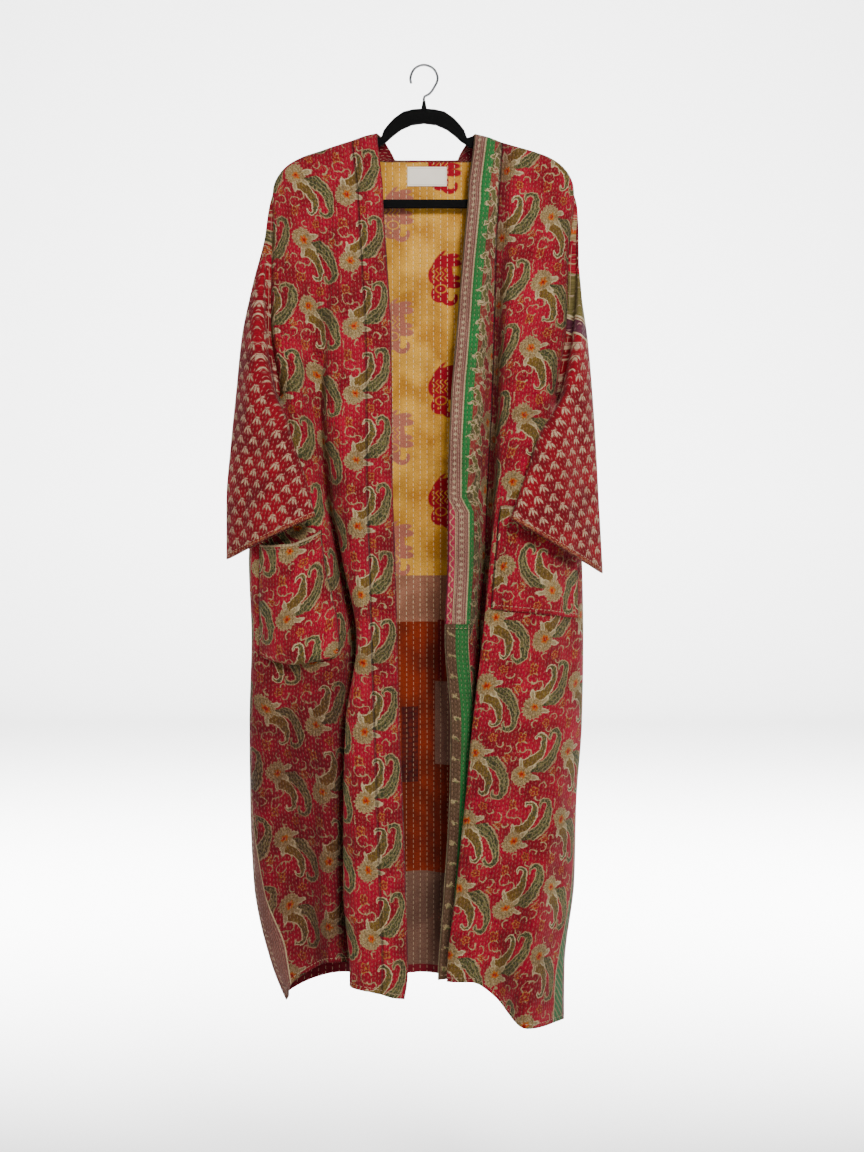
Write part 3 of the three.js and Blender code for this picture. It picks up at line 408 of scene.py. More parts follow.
def back_panel():
    """The back hangs between the two side seams, from both shoulders and the neck edge."""
    right, left = NECK_CORNERS
    outside, neck = 36, 62
    ramp = (np.arange(outside) / outside) ** 1.2
    places = np.concatenate([
        right * ramp,
        right + (left - right) * np.arange(neck) / neck,
        1 - (1 - left) * np.append(1, ramp[::-1]),
    ])
    tops = np.where(
        (places <= right)[:, None],
        along_line(SHOULDER_RIGHT[BAND_AT_SHOULDER:], 1 - np.clip(places / right, 0, 1)),
        along_line(SHOULDER_LEFT[BAND_AT_SHOULDER:], np.clip((places - left) / (1 - left), 0, 1)),
    )
    at_neck = (places > right) & (places < left)
    tops[at_neck] = neck_line((places[at_neck] - right) / (left - right))
    hems = smooth_line(BACK_SHARE, BACK_HEM, places)
    columns = []
    for share, top, hem in zip(places, tops, hems):
        z = column_heights(top[2], hem)
        ys = lines_at(BACK_Y, z)
        ys[:, 0] = side_y(z, SHOULDER_RIGHT[-1][1], 1, BACK_SLIT_SPREAD)
        ys[:, -1] = side_y(z, SHOULDER_LEFT[-1][1], 1, BACK_SLIT_SPREAD)
        drop = top[2] - z
        sides = lines_at(FRONT_RIGHT["x"], z)[:, 0], lines_at(FRONT_LEFT["x"], z)[:, -1]
        hung = sides[0] + (sides[1] - sides[0]) * share
        x = top[0] + (hung - top[0]) * ease(drop / FOLD_SETTLE)
        y = smooth_line(BACK_SHARE, ys.T, share)[0]
        if 0 < share < 1:
            settle = SHOULDER_ROLL + (NECK_SETTLE - SHOULDER_ROLL) * top[1] / NECK_DEPTH
            y = top[1] + (y - top[1]) * rolled(drop, settle)
        columns.append(np.stack([x, y, z], axis=1))
    return {"points": np.stack(columns, axis=1), "places": places}


def neck_band():
    at = [station[0] for station in NECK_BAND]
    shares = np.linspace(0, 1, NECK_STATIONS + 1)
    roll = smooth_line(at, [station[1] for station in NECK_BAND], shares)
    free = smooth_line(at, [station[2] for station in NECK_BAND], shares)
    lines = np.stack([neck_line(shares), roll, free])
    return smooth_line((0, NECK_ROLL_AT, 1), lines, np.linspace(0, 1, NECK_ACROSS + 1))


def sleeve(table, front, back, side):
    """A tube of rings whose first ring is the armhole of the front and the back."""
    edge = 0 if side < 0 else -1
    front_edge = front["points"][:ARM_ROWS + 1, edge]
    back_edge = back["points"][:ARM_ROWS + 1, edge]
    armhole = np.concatenate([front_edge, back_edge[:-1][::-1]])
    turn = np.pi * np.arange(len(armhole)) / ARM_ROWS
    a = ((1 - np.cos(turn)) / 2)[None, :]
    along = np.linspace(0, 1, SLEEVE_ROWS + 1)
    at = [row[0] for row in table]
    column = lambda k: smooth_line(at, [row[k] for row in table], along)
    top, under, bow, front_off, back_off = (column(k) for k in range(1, 6))
    reach = under - top
    bow_axis = np.stack([-reach[:, 2], 0 * reach[:, 0], reach[:, 0]], axis=1)
    bow_axis /= np.linalg.norm(bow_axis, axis=1)[:, None]
    bow_axis *= np.sign(bow_axis[:, :1] * side)
    points = top[:, None] + reach[:, None] * a[..., None]
    points += bow_axis[:, None] * (4 * bow[:, None] * a * (1 - a))[..., None]
    wall = np.where((turn <= np.pi)[None, :], -front_off[:, None], back_off[:, None])
    lean = top[:, 1:2] + reach[:, 1:2] * (1 - (1 - a) ** 2)
    points[..., 1] = lean + wall * np.abs(np.sin(turn)) ** ROUNDING
    settle = 1 - ease(along / ARMHOLE_SETTLE)
    points += (armhole - points[0]) * settle[:, None, None]
    return points


# Places and directions on a sheet
def outward_directions(points, outward):
    """Unit normals of a grid of points, on the side that outward (the wanted sign of y) names."""
    across = np.gradient(points, axis=1)
    down = np.gradient(points, axis=0)
    normal = np.cross(across, down)
    normal /= np.maximum(np.linalg.norm(normal, axis=2, keepdims=True), 1e-9)
    return normal * np.sign(outward * np.sum(normal[..., 1])) if outward else normal


def on_panel(panel, directions, place, z):
    """Points of a panel's grid at places and heights (arrays of one shape), with their directions."""
    places, points = panel["places"], panel["points"]
    i = np.clip(np.searchsorted(places, place, side="right") - 1, 0, len(places) - 2)
    u = (place - places[i]) / (places[i + 1] - places[i])
    heights = points[:, :, 2]
    j = np.clip((heights[:, i] > z[None]).sum(axis=0) - 1, 0, len(heights) - 2)
    v = (z - heights[j, i]) / (heights[j + 1, i] - heights[j, i])
    def blend(values):
        upper = values[j, i] * (1 - u)[..., None] + values[j, i + 1] * u[..., None]
        lower = values[j + 1, i] * (1 - u)[..., None] + values[j + 1, i + 1] * u[..., None]
        return upper * (1 - v)[..., None] + lower * v[..., None]
    return blend(points), blend(directions)


def pocket(table, panel):
    """A pocket takes the columns of the panel that it lies on, moved out and bellied forward."""
    inside = (panel["places"] > table["from"]) & (panel["places"] < table["to"])
    places = np.concatenate([[table["from"]], panel["places"][inside], [table["to"]]])
    share = (places - table["from"]) / (table["to"] - table["from"])
    belly = np.sin(np.pi * share) ** ROUNDING
    depth = table["mouth"][0] - table["foot"][0]
    down = np.linspace(0, 1, round(depth / STEP) + 1)
    profile = np.array(table["profile"], float)
    proud, drop = smooth_line(profile[:, 0], profile[:, 1:], down).T
    mouth = table["mouth"][0] + (table["mouth"][1] - table["mouth"][0]) * share
    foot = table["foot"][0] + (table["foot"][1] - table["foot"][0]) * share
    z = mouth + (foot - mouth) * down[:, None] - drop[:, None] * belly
    directions = outward_directions(panel["points"], -1)
    points, outward = on_panel(panel, directions, np.broadcast_to(places, z.shape), z)
    points += outward * (CLOTH + POCKET_OFF)
    points[..., 1] -= proud[:, None] * belly
    return points


def label(panel):
    """The label lies on the inside of the back, at the neck."""
    inward = (CLOTH + LABEL_CLOTH) / 2 + SEAM_GAP
    directions = outward_directions(panel["points"], 1)
    z = np.linspace(NECK_LABEL["top"], NECK_LABEL["bottom"], 13)
    x = np.linspace(NECK_LABEL["left"], NECK_LABEL["right"], 25)
    place = np.empty((len(z), len(x)))
    for row, height in enumerate(z):
        level = np.full(len(panel["places"]), height)
        middles, _ = on_panel(panel, directions, panel["places"], level)
        place[row] = np.interp(x, middles[:, 0], panel["places"])
    points, outward = on_panel(panel, directions, place, np.broadcast_to(z[:, None], place.shape))
    return points - outward * inward


# Creases and unevenness of hung cloth
# The heights of the creases are multiplied by this
CREASE_DEPTH = 1.7
# Millimetres over which they grow from nothing: in from the sides, and down from where they start
EDGE_SETTLE, TOP_STARTS, TOP_SETTLE = 30, 30, 90
# How much a side stands out below the underarm, where, and how far that reaches across and down
UNDERARM_FILL, FILL_Z, FILL_ACROSS, FILL_DOWN = 4.8, -484, 12, 8
# A sunk seam starts this far down and is at its full depth after this length
SINK_STARTS, SINK_SETTLE = 200, 250
# Depth and half width of the sunk seam of the left front and its band
LEFT_SINK = 17, 12
# How uneven the fronts are, and the sleeves and bands
FRONT_UNEVEN, PART_UNEVEN = 1.3, 0.8


def creased(points, creases, facing):
    """Moves a sheet along y for soft ridges (and troughs, below 0) along lines of x and z."""
    points = points.copy()
    x, z = points[..., 0], points[..., 2]
    for x1, z1, x2, z2, width, height in creases:
        dx, dz = x2 - x1, z2 - z1
        run = np.clip(((x - x1) * dx + (z - z1) * dz) / (dx ** 2 + dz ** 2), 0, 1)
        off = np.hypot(x - x1 - run * dx, z - z1 - run * dz)
        ends = ease(4 * run + 0.25) * ease(4 * (1 - run) + 0.25)
        shift = CREASE_DEPTH * facing * height * np.exp(-(off / width) ** 2) * ends
        points[..., 1] += shift * settled(points)
    return points


def settled(points):
    """1 on a panel's open part, less where it lies on the hanger and where it is sewn at its sides."""
    lengths = cloth_lengths(points)
    u, v = lengths[..., 0], lengths[..., 1]
    return ease(np.minimum(u, u[:, -1:] - u) / EDGE_SETTLE) * ease((v - TOP_STARTS) / TOP_SETTLE)


def uneven(points, facing, seed, height=1.0):
    """Gentle bumps and hollows from the quilting, each in a random direction."""
    draw = np.random.default_rng(seed)
    total = np.zeros(points.shape[:2])
    for wavelength, size, count in ((140, 0.9, 6), (60, 0.45, 8), (26, 0.28, 10), (14, 0.16, 10)):
        for _ in range(count):
            turn, phase = draw.uniform(0, 2 * np.pi, 2)
            wave = points[..., 0] * np.cos(turn) + 0.6 * points[..., 2] * np.sin(turn)
            total += size / math.sqrt(count) * np.sin(2 * np.pi * wave / wavelength + phase)
    points = points.copy()
    points[..., 1] += facing * height * total * settled(points)
    return points


def sunk_seam(points, column, depth, width):
    """Sinks the cloth beside a seam column, more towards the hem, as one edge folds over the other."""
    lengths = np.abs(cloth_lengths(points, column)[..., 0])
    deep = depth * ease((-points[..., 2] - SINK_STARTS) / SINK_SETTLE)
    points = points.copy()
    points[..., 1] += deep * np.exp(-(lengths / width) ** 2)
    return points


def filled_underarm(points, columns):
    """Lets the side stand out a little just below the underarm, where the sleeve hangs against it."""
    points = points.copy()
    for column in columns:
        side = points[:, [column], 0]
        near = np.exp(-((points[..., 0] - side) / FILL_ACROSS) ** 2)
        near = near * np.exp(-((points[..., 2] - FILL_Z) / FILL_DOWN) ** 2)
        points[..., 0] += UNDERARM_FILL * np.sign(side) * near * (points[..., 2] < UNDERARM_Z)
    return points


# The creases: x and z at one end, x and z at the other, how wide, and how high
RIGHT_CREASES = (
    (-150, -215, -160, -520, 13, -3.0), (-118, -180, -128, -420, 11, 2.2), (-85, -200, -92, -560, 9, -1.6),
    (-190, -230, -182, -430, 12, 2.0), (-120, -640, -105, -900, 12, -2.6), (-85, -700, -80, -930, 9, 1.8),
    (-210, -900, -203, -1330, 24, -5.5), (-142, -900, -134, -1300, 16, 3.0),
    (-160, -880, -150, -1290, 16, -3.6), (-75, -980, -70, -1340, 11, -2.0), (-95, -940, -92, -1300, 10, 1.8),
    (-215, -860, -150, -905, 12, -2.0), (-130, -905, -110, -960, 12, -2.0),
)
LEFT_CREASES = (
    (150, -220, 158, -560, 14, -2.6), (178, -230, 185, -480, 12, 2.2), (128, -240, 126, -520, 10, 1.6),
    (112, -620, 104, -1000, 10, -2.0), (205, -700, 198, -1150, 13, -2.6), (165, -800, 158, -1250, 15, 2.6),
    (130, -900, 132, -1280, 14, -2.8), (110, -1120, 125, -1360, 14, 2.6), (190, -1100, 182, -1340, 12, -2.0),
    (95, -1080, 92, -1340, 9, -1.8), (100, -690, 215, -715, 9, -1.4),
)
BACK_CREASES = (
    (-180, -330, -195, -1290, 18, -5.6), (-120, -420, -128, -1320, 18, 5.6),
    (-60, -300, -66, -1300, 18, -5.6), (0, -420, 4, -1310, 18, 5.6), (62, -320, 60, -1290, 18, -5.6),
    (118, -430, 112, -1320, 18, 5.6),
    (172, -330, 180, -1300, 18, -5.6), (-140, -200, -60, -260, 22, 2.0), (140, -200, 60, -260, 22, 2.0),
    (-20, -640, 30, -1150, 12, 2.0), (30, -230, 36, -700, 10, -1.8),
)
SLEEVE_RIGHT_CREASES = (
    (-212, -420, -252, -640, 9, -2.4), (-228, -330, -262, -560, 9, 2.0), (-205, -500, -226, -690, 8, 2.0),
    (-250, -600, -262, -720, 8, -1.8), (-215, -600, -232, -730, 7, -1.6),
)
SLEEVE_LEFT_CREASES = (
    (205, -430, 232, -650, 9, -2.4), (222, -330, 244, -560, 9, 2.0), (190, -520, 205, -690, 8, 2.0),
    (232, -600, 242, -730, 8, -1.8), (208, -600, 220, -730, 7, -1.6),
)


# Meshes of cloth
def cloth_lengths(points, column=0, row=0, v_there=0):
    """Each point's place on the flat cloth in millimetres: across from a column, and down."""
    across = np.linalg.norm(np.diff(points, axis=1), axis=2)
    u = np.concatenate([np.zeros((len(points), 1)), np.cumsum(across, axis=1)], axis=1)
    down = np.linalg.norm(np.diff(points, axis=0), axis=2)
    v = np.concatenate([np.zeros((1, points.shape[1])), np.cumsum(down, axis=0)])
    return np.stack([u - u[:, [column]], v - v[[row]] + v_there], axis=2)


def tubed(points):
    return np.concatenate([points, points[:, :1]], axis=1)


def tube_lengths(points, side):
    """A sleeve's place on its flat cloth: both ways round from the outer fold, and down."""
    steps = np.hypot(np.diff(points[..., 0], axis=1), np.diff(points[..., 1], axis=1))
    u = np.concatenate([np.zeros((len(points), 1)), np.cumsum(steps, axis=1)], axis=1)
    u[:, ARM_ROWS + 1:] -= u[:, [-1]]
    return np.stack([-side * u, -points[..., 2]], axis=2)


def panel_lengths(points, column):
    """The place on the flat cloth, from a column and from the underarm's height."""
    return cloth_lengths(points, column, ARM_ROWS, -UNDERARM_Z)


def edge_distances(points, tube=False):
    """Each point's distance from the nearest side, and from the nearer of the top and the bottom."""
    lengths = cloth_lengths(points)
    u, v = lengths[..., 0], lengths[..., 1]
    sides = np.full_like(u, FAR) if tube else np.minimum(u, u[:, -1:] - u)
    return np.stack([sides, np.minimum(v, v[-1:] - v)], axis=2)


def make_sheet(name, points, lengths, thickness, materials, tube=False):
    """A grid laid on the points and thickened; its columns run so that the first side faces out."""
    rows, columns = points.shape[:2]
    bpy.ops.object.select_all(action="DESELECT")
    bpy.ops.mesh.primitive_grid_add(x_subdivisions=columns - 1, y_subdivisions=rows - 1, size=1)
    piece = bpy.context.object
    piece.name = piece.data.name = name + "_cloth"
    mesh = piece.data
    mesh.vertices.foreach_set("co", (points * MM).astype(np.float32).ravel())
    corner = np.empty(len(mesh.loops), np.int32)
    mesh.loops.foreach_get("vertex_index", corner)
    mesh.uv_layers[0].name = "cloth"
    mesh.uv_layers.new(name="edges")
    for layer, values in (("cloth", lengths), ("edges", edge_distances(points, tube))):
        flat = (values.reshape(-1, 2)[corner] * MM).astype(np.float32)
        mesh.uv_layers[layer].data.foreach_set("uv", flat.ravel())
    for material in materials:
        mesh.materials.append(material)
    mesh.update()
    if tube:
        bpy.ops.object.mode_set(mode="EDIT")
        bpy.ops.mesh.select_all(action="SELECT")
        bpy.ops.mesh.remove_doubles(threshold=0.00001)
        bpy.ops.object.mode_set(mode="OBJECT")
    thicken = piece.modifiers.new("thickness", "SOLIDIFY")
    thicken.thickness = thickness * MM
    thicken.offset = 0
    thicken.use_quality_normals = True
    thicken.material_offset = len(materials) - 1
    bpy.ops.object.modifier_apply(modifier=thicken.name)
    bpy.ops.object.shade_smooth_by_angle(angle=math.radians(50))
    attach(piece, "root")
    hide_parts(name)
    return piece


# Colours and shader nodes
RED, DEEP_RED, CREAM_LINE, GREEN = "#A40029", "#78001A", "#B49E78", "#237037"
# Cloth reflects less than the usual level
DULL = 0.14
# Roughness and sheen of the cottons
COTTON = 0.9, 0.03
# How far apart the sleeves' sprigs and the lining's elephants are printed
SPRIG_PITCH, SPRIG_ROW = 24, 14.5
ELEPHANT_PITCH = 162.4
# The node trees of the materials so far; put adds to the last
TREES = []


def paint(code):
    """The linear colour of an sRGB hex value."""
    parts = [int(code[i:i + 2], 16) / 255 for i in (1, 3, 5)]
    return (*[c / 12.92 if c <= 0.04045 else ((c + 0.055) / 1.055) ** 2.4 for c in parts], 1)


def put(kind, *inputs, **settings):
    """Adds a node, such as TexNoise or Math.ADD, to the latest material; returns its first output.

    A setting is a property of the node or, by its name, an input. The other inputs come in order.
    A value is a number, a vector, a hex colour or another node's output.
    """
    tree = TREES[-1]
    name, _, operation = kind.partition(".")
    node = tree.nodes.new("ShaderNode" + name)
    if operation:
        node.operation = operation
    sockets = {}
    for key, value in settings.items():
        if key[0].isupper():
            sockets[key.replace("_", " ")] = value
        else:
            setattr(node, key, value)
    order = [socket for socket in node.inputs if socket.enabled]
    named = [(node.inputs[key], value) for key, value in sockets.items()]
    for socket, value in [*zip(order, inputs), *named]:
        if isinstance(value, bpy.types.NodeSocket):
            tree.links.new(value, socket)
        else:
            socket.default_value = paint(value) if isinstance(value, str) else value
    return next(socket for socket in node.outputs if socket.enabled)


def node_of(kind):
    return lambda *inputs: put(kind, *inputs)


minus, plus, times, ratio = map(node_of, ("Math.SUBTRACT", "Math.ADD", "Math.MULTIPLY", "Math.DIVIDE"))
least, most, absolute, whole = map(node_of, ("Math.MINIMUM", "Math.MAXIMUM", "Math.ABSOLUTE", "Math.FLOOR"))
multiply_add, back_and_forth, sine = map(node_of, ("Math.MULTIPLY_ADD", "Math.PINGPONG", "Math.SINE"))
less, shifted_by, scaled = map(node_of, ("VectorMath.SUBTRACT", "VectorMath.ADD", "VectorMath.MULTIPLY"))
length, point = map(node_of, ("VectorMath.LENGTH", "CombineXYZ"))


def ranged(value, low, high, first, last, **settings):
    """Turns low to high into first to last, and holds the ends."""
    return put("MapRange", value, low, high, first, last, **settings)


def mixed(share, first, second):
    return put("Mix", share, first, second, data_type="RGBA")


def repeated(place, half):
    """A place that repeats up and down, within half a pitch each way."""
    return put("VectorMath.WRAP", place, (FAR, half, 1), (-FAR, -half, -1))


def turned_by(place, degrees):
    return put("VectorRotate", place, rotation_type="Z_AXIS", Angle=math.radians(degrees))


def noise(place, scale, detail=2.0, **settings):
    return put("TexNoise", Vector=place, Scale=scale, Detail=detail, **settings)


def waver(place, scale, detail, reach, **settings):
    """An uneven shift, up to about half of reach millimetres each way."""
    tint = noise(place, scale, detail, **settings).node.outputs["Color"]
    return scaled(less(tint, (0.5,) * 3), (reach, reach, 0))


def in_object():
    """The place in the object, in metres."""
    return put("TexCoord").node.outputs["Object"]


def in_millimetres(place):
    return put("VectorMath.SCALE", place, Scale=1 / MM)


def cloth_material(name, roughness, sheen):
    """A new dull material, which put then adds its nodes to."""
    material = bpy.data.materials.new(name)
    material.use_nodes = True
    TREES.append(material.node_tree)
    shader = material.node_tree.nodes["Principled BSDF"]
    shader.inputs["Roughness"].default_value = roughness
    shader.inputs["Specular IOR Level"].default_value = DULL
    shader.inputs["Sheen Weight"].default_value = sheen
    shader.inputs["Sheen Roughness"].default_value = 0.5
    return material


def finish_cloth(material, colour, height, depth):
    """Gives a cloth its colour, and its relief as a height of 0 to 1 that is depth metres high."""
    tree = material.node_tree
    shader = tree.nodes["Principled BSDF"]
    tree.links.new(colour, shader.inputs["Base Color"])
    bump = put("Bump", Strength=1.0, Distance=depth, Height=height)
    tree.links.new(bump, shader.inputs["Normal"])


def on_cloth():
    """The place on the flat cloth in millimetres: x across, y down."""
    return in_millimetres(put("UVMap", uv_map="cloth"))


def split(vector):
    node = put("SeparateXYZ", vector).node
    return node.outputs[0], node.outputs[1]


def laid(below, colour, distance, soft=0.35, strength=1.0):
    """Lays a colour where a distance in millimetres is below 0."""
    mask = ranged(distance, -soft, soft, strength, 0.0)
    return mixed(mask, below, colour)


def outlined(below, fill, line, distance, width):
    """A shape with its outline."""
    outer = laid(below, line, minus(distance, width / 2))
    return laid(outer, fill, plus(distance, width / 2))


def line_of(distance, width):
    """The distance from the edge of a shape, as a line of that width."""
    return minus(absolute(distance), width / 2)


# Shapes that the printed motifs are made of, as distances in millimetres
def placed(cell, x, y, pitch):
    """Places from a point of a repeating cell, the nearest way round up and down."""
    return repeated(less(cell, (x, y, 0)), pitch / 2)


def polar(place, start):
    """The distance from the middle, and the angle round from a start in radians, 0 to a full turn."""
    x, y = split(place)
    angle = put("Math.ARCTAN2", y, x)
    turned = put("Math.WRAP", minus(angle, start), 2 * math.pi, 0.0)
    return length(place), turned


def horn(place, radius, start, sweep, wide, fine=0.4, turn=1, end_radius=None):
    """A band along an arc that narrows from wide to fine; angles are in degrees."""
    if turn < 0:
        place = scaled(place, (1, -1, 1))
        start = -start
    distance, turned = polar(place, math.radians(start))
    share = ranged(turned, 0.0, math.radians(sweep), 0.0, 1.0)
    middle = ranged(share, 0.0, 1.0, radius, end_radius or radius)
    narrowing = put("Math.POWER", minus(1.0, share), 0.75)
    half = multiply_add(narrowing, wide - fine, fine)
    off = absolute(minus(distance, middle))
    beyond = most(minus(turned, math.radians(sweep)), 0.0)
    past_end = times(beyond, radius)
    return plus(minus(off, half), past_end), share


def petals(place, radius, count, bump, turn=0.0):
    """A round flower with that many scallops."""
    distance, angle = polar(place, turn)
    wave = absolute(sine(times(angle, count / 2)))
    edge = multiply_add(wave, bump, radius - bump)
    return minus(distance, edge), wave


def oval(place, x, y, long, short, angle=0):
    """An ellipse in a place's frame, turned by an angle in degrees."""
    turned = turned_by(less(place, (x, y, 0)), -angle)
    reach = minus(length(scaled(turned, (1 / long, 1 / short, 0))), 1.0)
    return times(reach, min(long, short))


def beads(place, radius, start, sweep, pitch, size):
    """Small rounds in a row along an arc."""
    distance, turned = polar(place, math.radians(start))
    step = minus(back_and_forth(times(turned, radius), pitch / 2), pitch / 4)
    reach = length(point(step, minus(distance, radius)))
    beyond = times(put("Math.GREATER_THAN", turned, math.radians(sweep)), 100.0)
    return plus(minus(reach, size), beyond)


# The paisley cloth: its cell holds one motif, and every second column hangs upside down
CELL_WIDE, CELL_HIGH, CELL_SHIFT = 72, 96.5, 74
CELL_SWAY, SWAY_PHASE = 5, 0.78
FLOWER = (18, 21)


def paisley_cell(place):
    """The place in a motif's cell: x to the right, y up."""
    wobble = waver(place, 0.05, 2.0, 9, Roughness=0.6)
    place = shifted_by(place, shifted_by(wobble, waver(place, 0.3, 1.0, 3.4)))
    x, down = split(place)
    sway = sine(multiply_add(down, 2 * math.pi / CELL_HIGH, SWAY_PHASE))
    across = minus(x, times(sway, CELL_SWAY))
    column = whole(ratio(across, CELL_WIDE))
    odd = back_and_forth(column, 1.0)
    up = times(down, multiply_add(odd, 2.0, -1.0))
    return point(minus(x, times(column, CELL_WIDE)), multiply_add(odd, CELL_SHIFT, up))


def paisley(colour, cell):
    """Lays one motif of a two-horned paisley with its flower, scrolls and florets."""
    def at(x, y):
        return placed(cell, FLOWER[0] + x, FLOWER[1] + y, CELL_HIGH)
    vines = noise(cell, 0.085, 1.0, Roughness=0.3)
    vines = absolute(minus(back_and_forth(vines, 0.09), 0.045))
    colour = laid(colour, "#96422C", minus(vines, 0.006), 0.004, 0.7)
    cream, pale, olive, gold, tan = "#A08C64", "#BCA880", "#42462A", "#6A4A18", "#84693E"
    for x, y, radius, start, sweep, turn in (
        (-7, 42, 8, 30, 250, 1), (-4, 38, 4, 200, 200, 1), (4, 32, 5, -60, 220, 1),
        (-12, 62, 6, 10, 240, -1), (44, -6, 6, 120, 220, -1), (6, 74, 5, 60, 200, 1),
        (33, -14, 5, -40, 230, 1), (28, 66, 4, 150, 240, 1), (-16, 26, 4, 20, 230, -1),
    ):
        scroll, _ = horn(at(x, y), radius, start, sweep, 1.0, 0.4, turn)
        colour = laid(colour, cream, scroll)
    for x, y, size in ((-9, 55, 7), (22, 75, 6), (46, 6, 5)):
        floret, _ = petals(at(x, y), size, 5, size * 0.45)
        colour = outlined(colour, "#84161C", "#A8662C", floret, 1.4)
        colour = laid(colour, "#B87A2C", plus(floret, size * 0.72))
    fringe = beads(at(-2, 52), 61.5, -80, 92, 6.0, 2.6)
    colour = laid(colour, cream, line_of(fringe, 1.0))
    outer, _ = horn(at(-2, 52), 50, -74, 78, 9.5, 4.2)
    curl, _ = horn(at(38.5, 55), 9.5, -14, 225, 4.4, 0.6, 1, 6)
    inner, inner_share = horn(at(-8, 47), 33, -78, 86, 8.5, 3.2)
    hook, _ = horn(at(17.5, 51.5), 7.5, -12, 200, 3.3, 0.4, 1, 5)
    speck = ranged(put("TexVoronoi", Vector=cell, Scale=0.42), 0.2, 0.6, 0.0, 1.0)
    leafy = mixed(speck, "#72683A", "#363C24")
    spine = line_of(plus(outer, 4.8), 1.2)
    outer = least(outer, curl)
    colour = outlined(colour, leafy, cream, outer, 1.4)
    colour = laid(colour, "#8F8458", spine, strength=0.7)
    ripe = mixed(speck, "#7C6228", mixed(inner_share, gold, olive))
    colour = outlined(colour, ripe, pale, least(inner, hook), 1.5)
    for x, y, long, short, angle in ((15, -3, 9, 3.2, -8), (12, 10, 8, 3, 38), (-3, 17, 2.6, 8, 8)):
        leaf = oval(at(0, 0), x, y, long, short, angle)
        colour = outlined(colour, "#93805A", pale, leaf, 1.3)
    bloom, wave = petals(at(-1, -1), 15.5, 17, 2.4)
    petal = mixed(ranged(wave, 0.1, 0.85, 0.0, 1.0), "#4A3A22", tan)
    petal = mixed(times(speck, 0.8), "#AC9468", petal)
    colour = outlined(colour, petal, cream, bloom, 0.9)
    star, _ = petals(at(1, 1), 5.8, 6, 2.4, 0.4)
    colour = outlined(colour, "#BC480C", "#A06A28", star, 1.8)
    heart, _ = petals(at(1, 1), 2.6, 4, 0.6)
    return laid(colour, "#8E1408", heart)


def stitches(place, pitch, long, gap, width, jitter):
    """Running stitches in rows down the cloth, each row started at its own height."""
    sway = noise(place, 0.02, 1.0)
    x, y = split(place)
    x = multiply_add(sway, jitter, x)
    across = ratio(x, pitch)
    row = whole(across)
    off = times(minus(put("Math.FRACT", across), 0.5), pitch)
    start = put("TexWhiteNoise", W=row, noise_dimensions="1D")
    along = multiply_add(start, 37.0, y)
    down = put("Math.WRAP", along, (long + gap) / 2, -(long + gap) / 2)
    past = most(minus(absolute(down), long / 2), 0.0)
    return minus(length(point(off, past)), width / 2)


def quilted_relief(place, stitch):
    """Puckers between the rows of stitches, with each stitch pulled in."""
    pucker = noise(place, 0.16, 3.0, Roughness=0.6)
    weave = noise(place, 1.6, 1.0)
    pulled = ranged(stitch, 0.0, 1.6, 0.0, 1.0, interpolation_type="SMOOTHSTEP")
    return multiply_add(weave, 0.12, multiply_add(pulled, 0.4, times(pucker, 0.75)))


def aged(colour, place):
    """Uneven dye and old stains, which block-printed cloth that was worn before always has."""
    patches = noise(place, 0.011, 4.0, Roughness=0.65)
    shade = ranged(patches, 0.35, 0.7, 0.0, 1.0)
    dull = mixed(0.45, colour, "#3C0A10")
    colour = mixed(times(shade, 0.8), colour, dull)
    threads = noise(place, 0.9, 2.0)
    threads = ranged(threads, 0.3, 0.7, 0.5, 1.25)
    return scaled(colour, point(threads, threads, threads))


def edges():
    """Millimetres in from the nearest side, and from the nearer of top and bottom."""
    return split(in_millimetres(put("UVMap", uv_map="edges")))


def ground(place, first, second):
    tint = noise(place, 0.02, 2.0)
    return mixed(ranged(tint, 0.38, 0.62, 0.0, 1.0), first, second)


def both(*distances):
    """Where all of the distances are below 0."""
    result = distances[0]
    for distance in distances[1:]:
        result = most(result, distance)
    return result


def between(value, low, high):
    middle, half = (low + high) / 2, (high - low) / 2
    off = absolute(minus(value, middle))
    return minus(off, half)


def every(value, pitch, width):
    """Lines of a width at every pitch."""
    off = put("Math.WRAP", value, pitch / 2, -pitch / 2)
    return minus(absolute(off), width / 2)


def hemmed(colour, stitch_height):
    """A turned edge, 7 mm deep and held by a line of stitches; it returns its relief too."""
    side, end = edges()
    line = both(between(end, 5.6, 6.6), every(split(on_cloth())[0], 6, 3.4))
    colour = laid(colour, "#C0A080", line, 0.25, 0.7)
    # darker towards #2A0A0C within 3 mm of every side and end
    darker_near_edges = ranged(least(side, end), 0.0, 3.0, 0.35, 0.0)
    colour = mixed(darker_near_edges, colour, "#2A0A0C")
    step = ranged(end, 6.0, 8.5, 0.5, 0.0)
    seam = ranged(side, 0.0, 2.5, -1.0, 0.0)
    height = plus(plus(stitch_height, step), seam)
    return colour, minus(height, ranged(line, -0.4, 0.4, 0.5, 0.0))


def trim_stripes(u, v):
    """The mauve border print: fine lines down it with a row of small lozenges."""
    colour = mixed(ranged(every(u, 3.1, 1.3), -0.4, 0.4, 1.0, 0.0), "#7C4A46", "#A08068")
    lozenge = plus(every(v, 8.5, 3.0), absolute(between(u, 9.5, 9.6)))
    return laid(colour, "#B89C7C", minus(lozenge, 1.6))


def scroll_strip(u, v):
    """A pink and red strip with a running scroll."""
    sway = times(sine(times(v, 0.42)), 2.6)
    line = absolute(plus(minus(u, 6.0), sway))
    return laid("#A83048", "#B8946C", minus(line, 0.9))


def loose_repeat(place, half):
    """A place that repeats down the cloth, its outlines made uneven as by hand."""
    return repeated(shifted_by(place, waver(place, 0.16, 2.0, 12)), half)


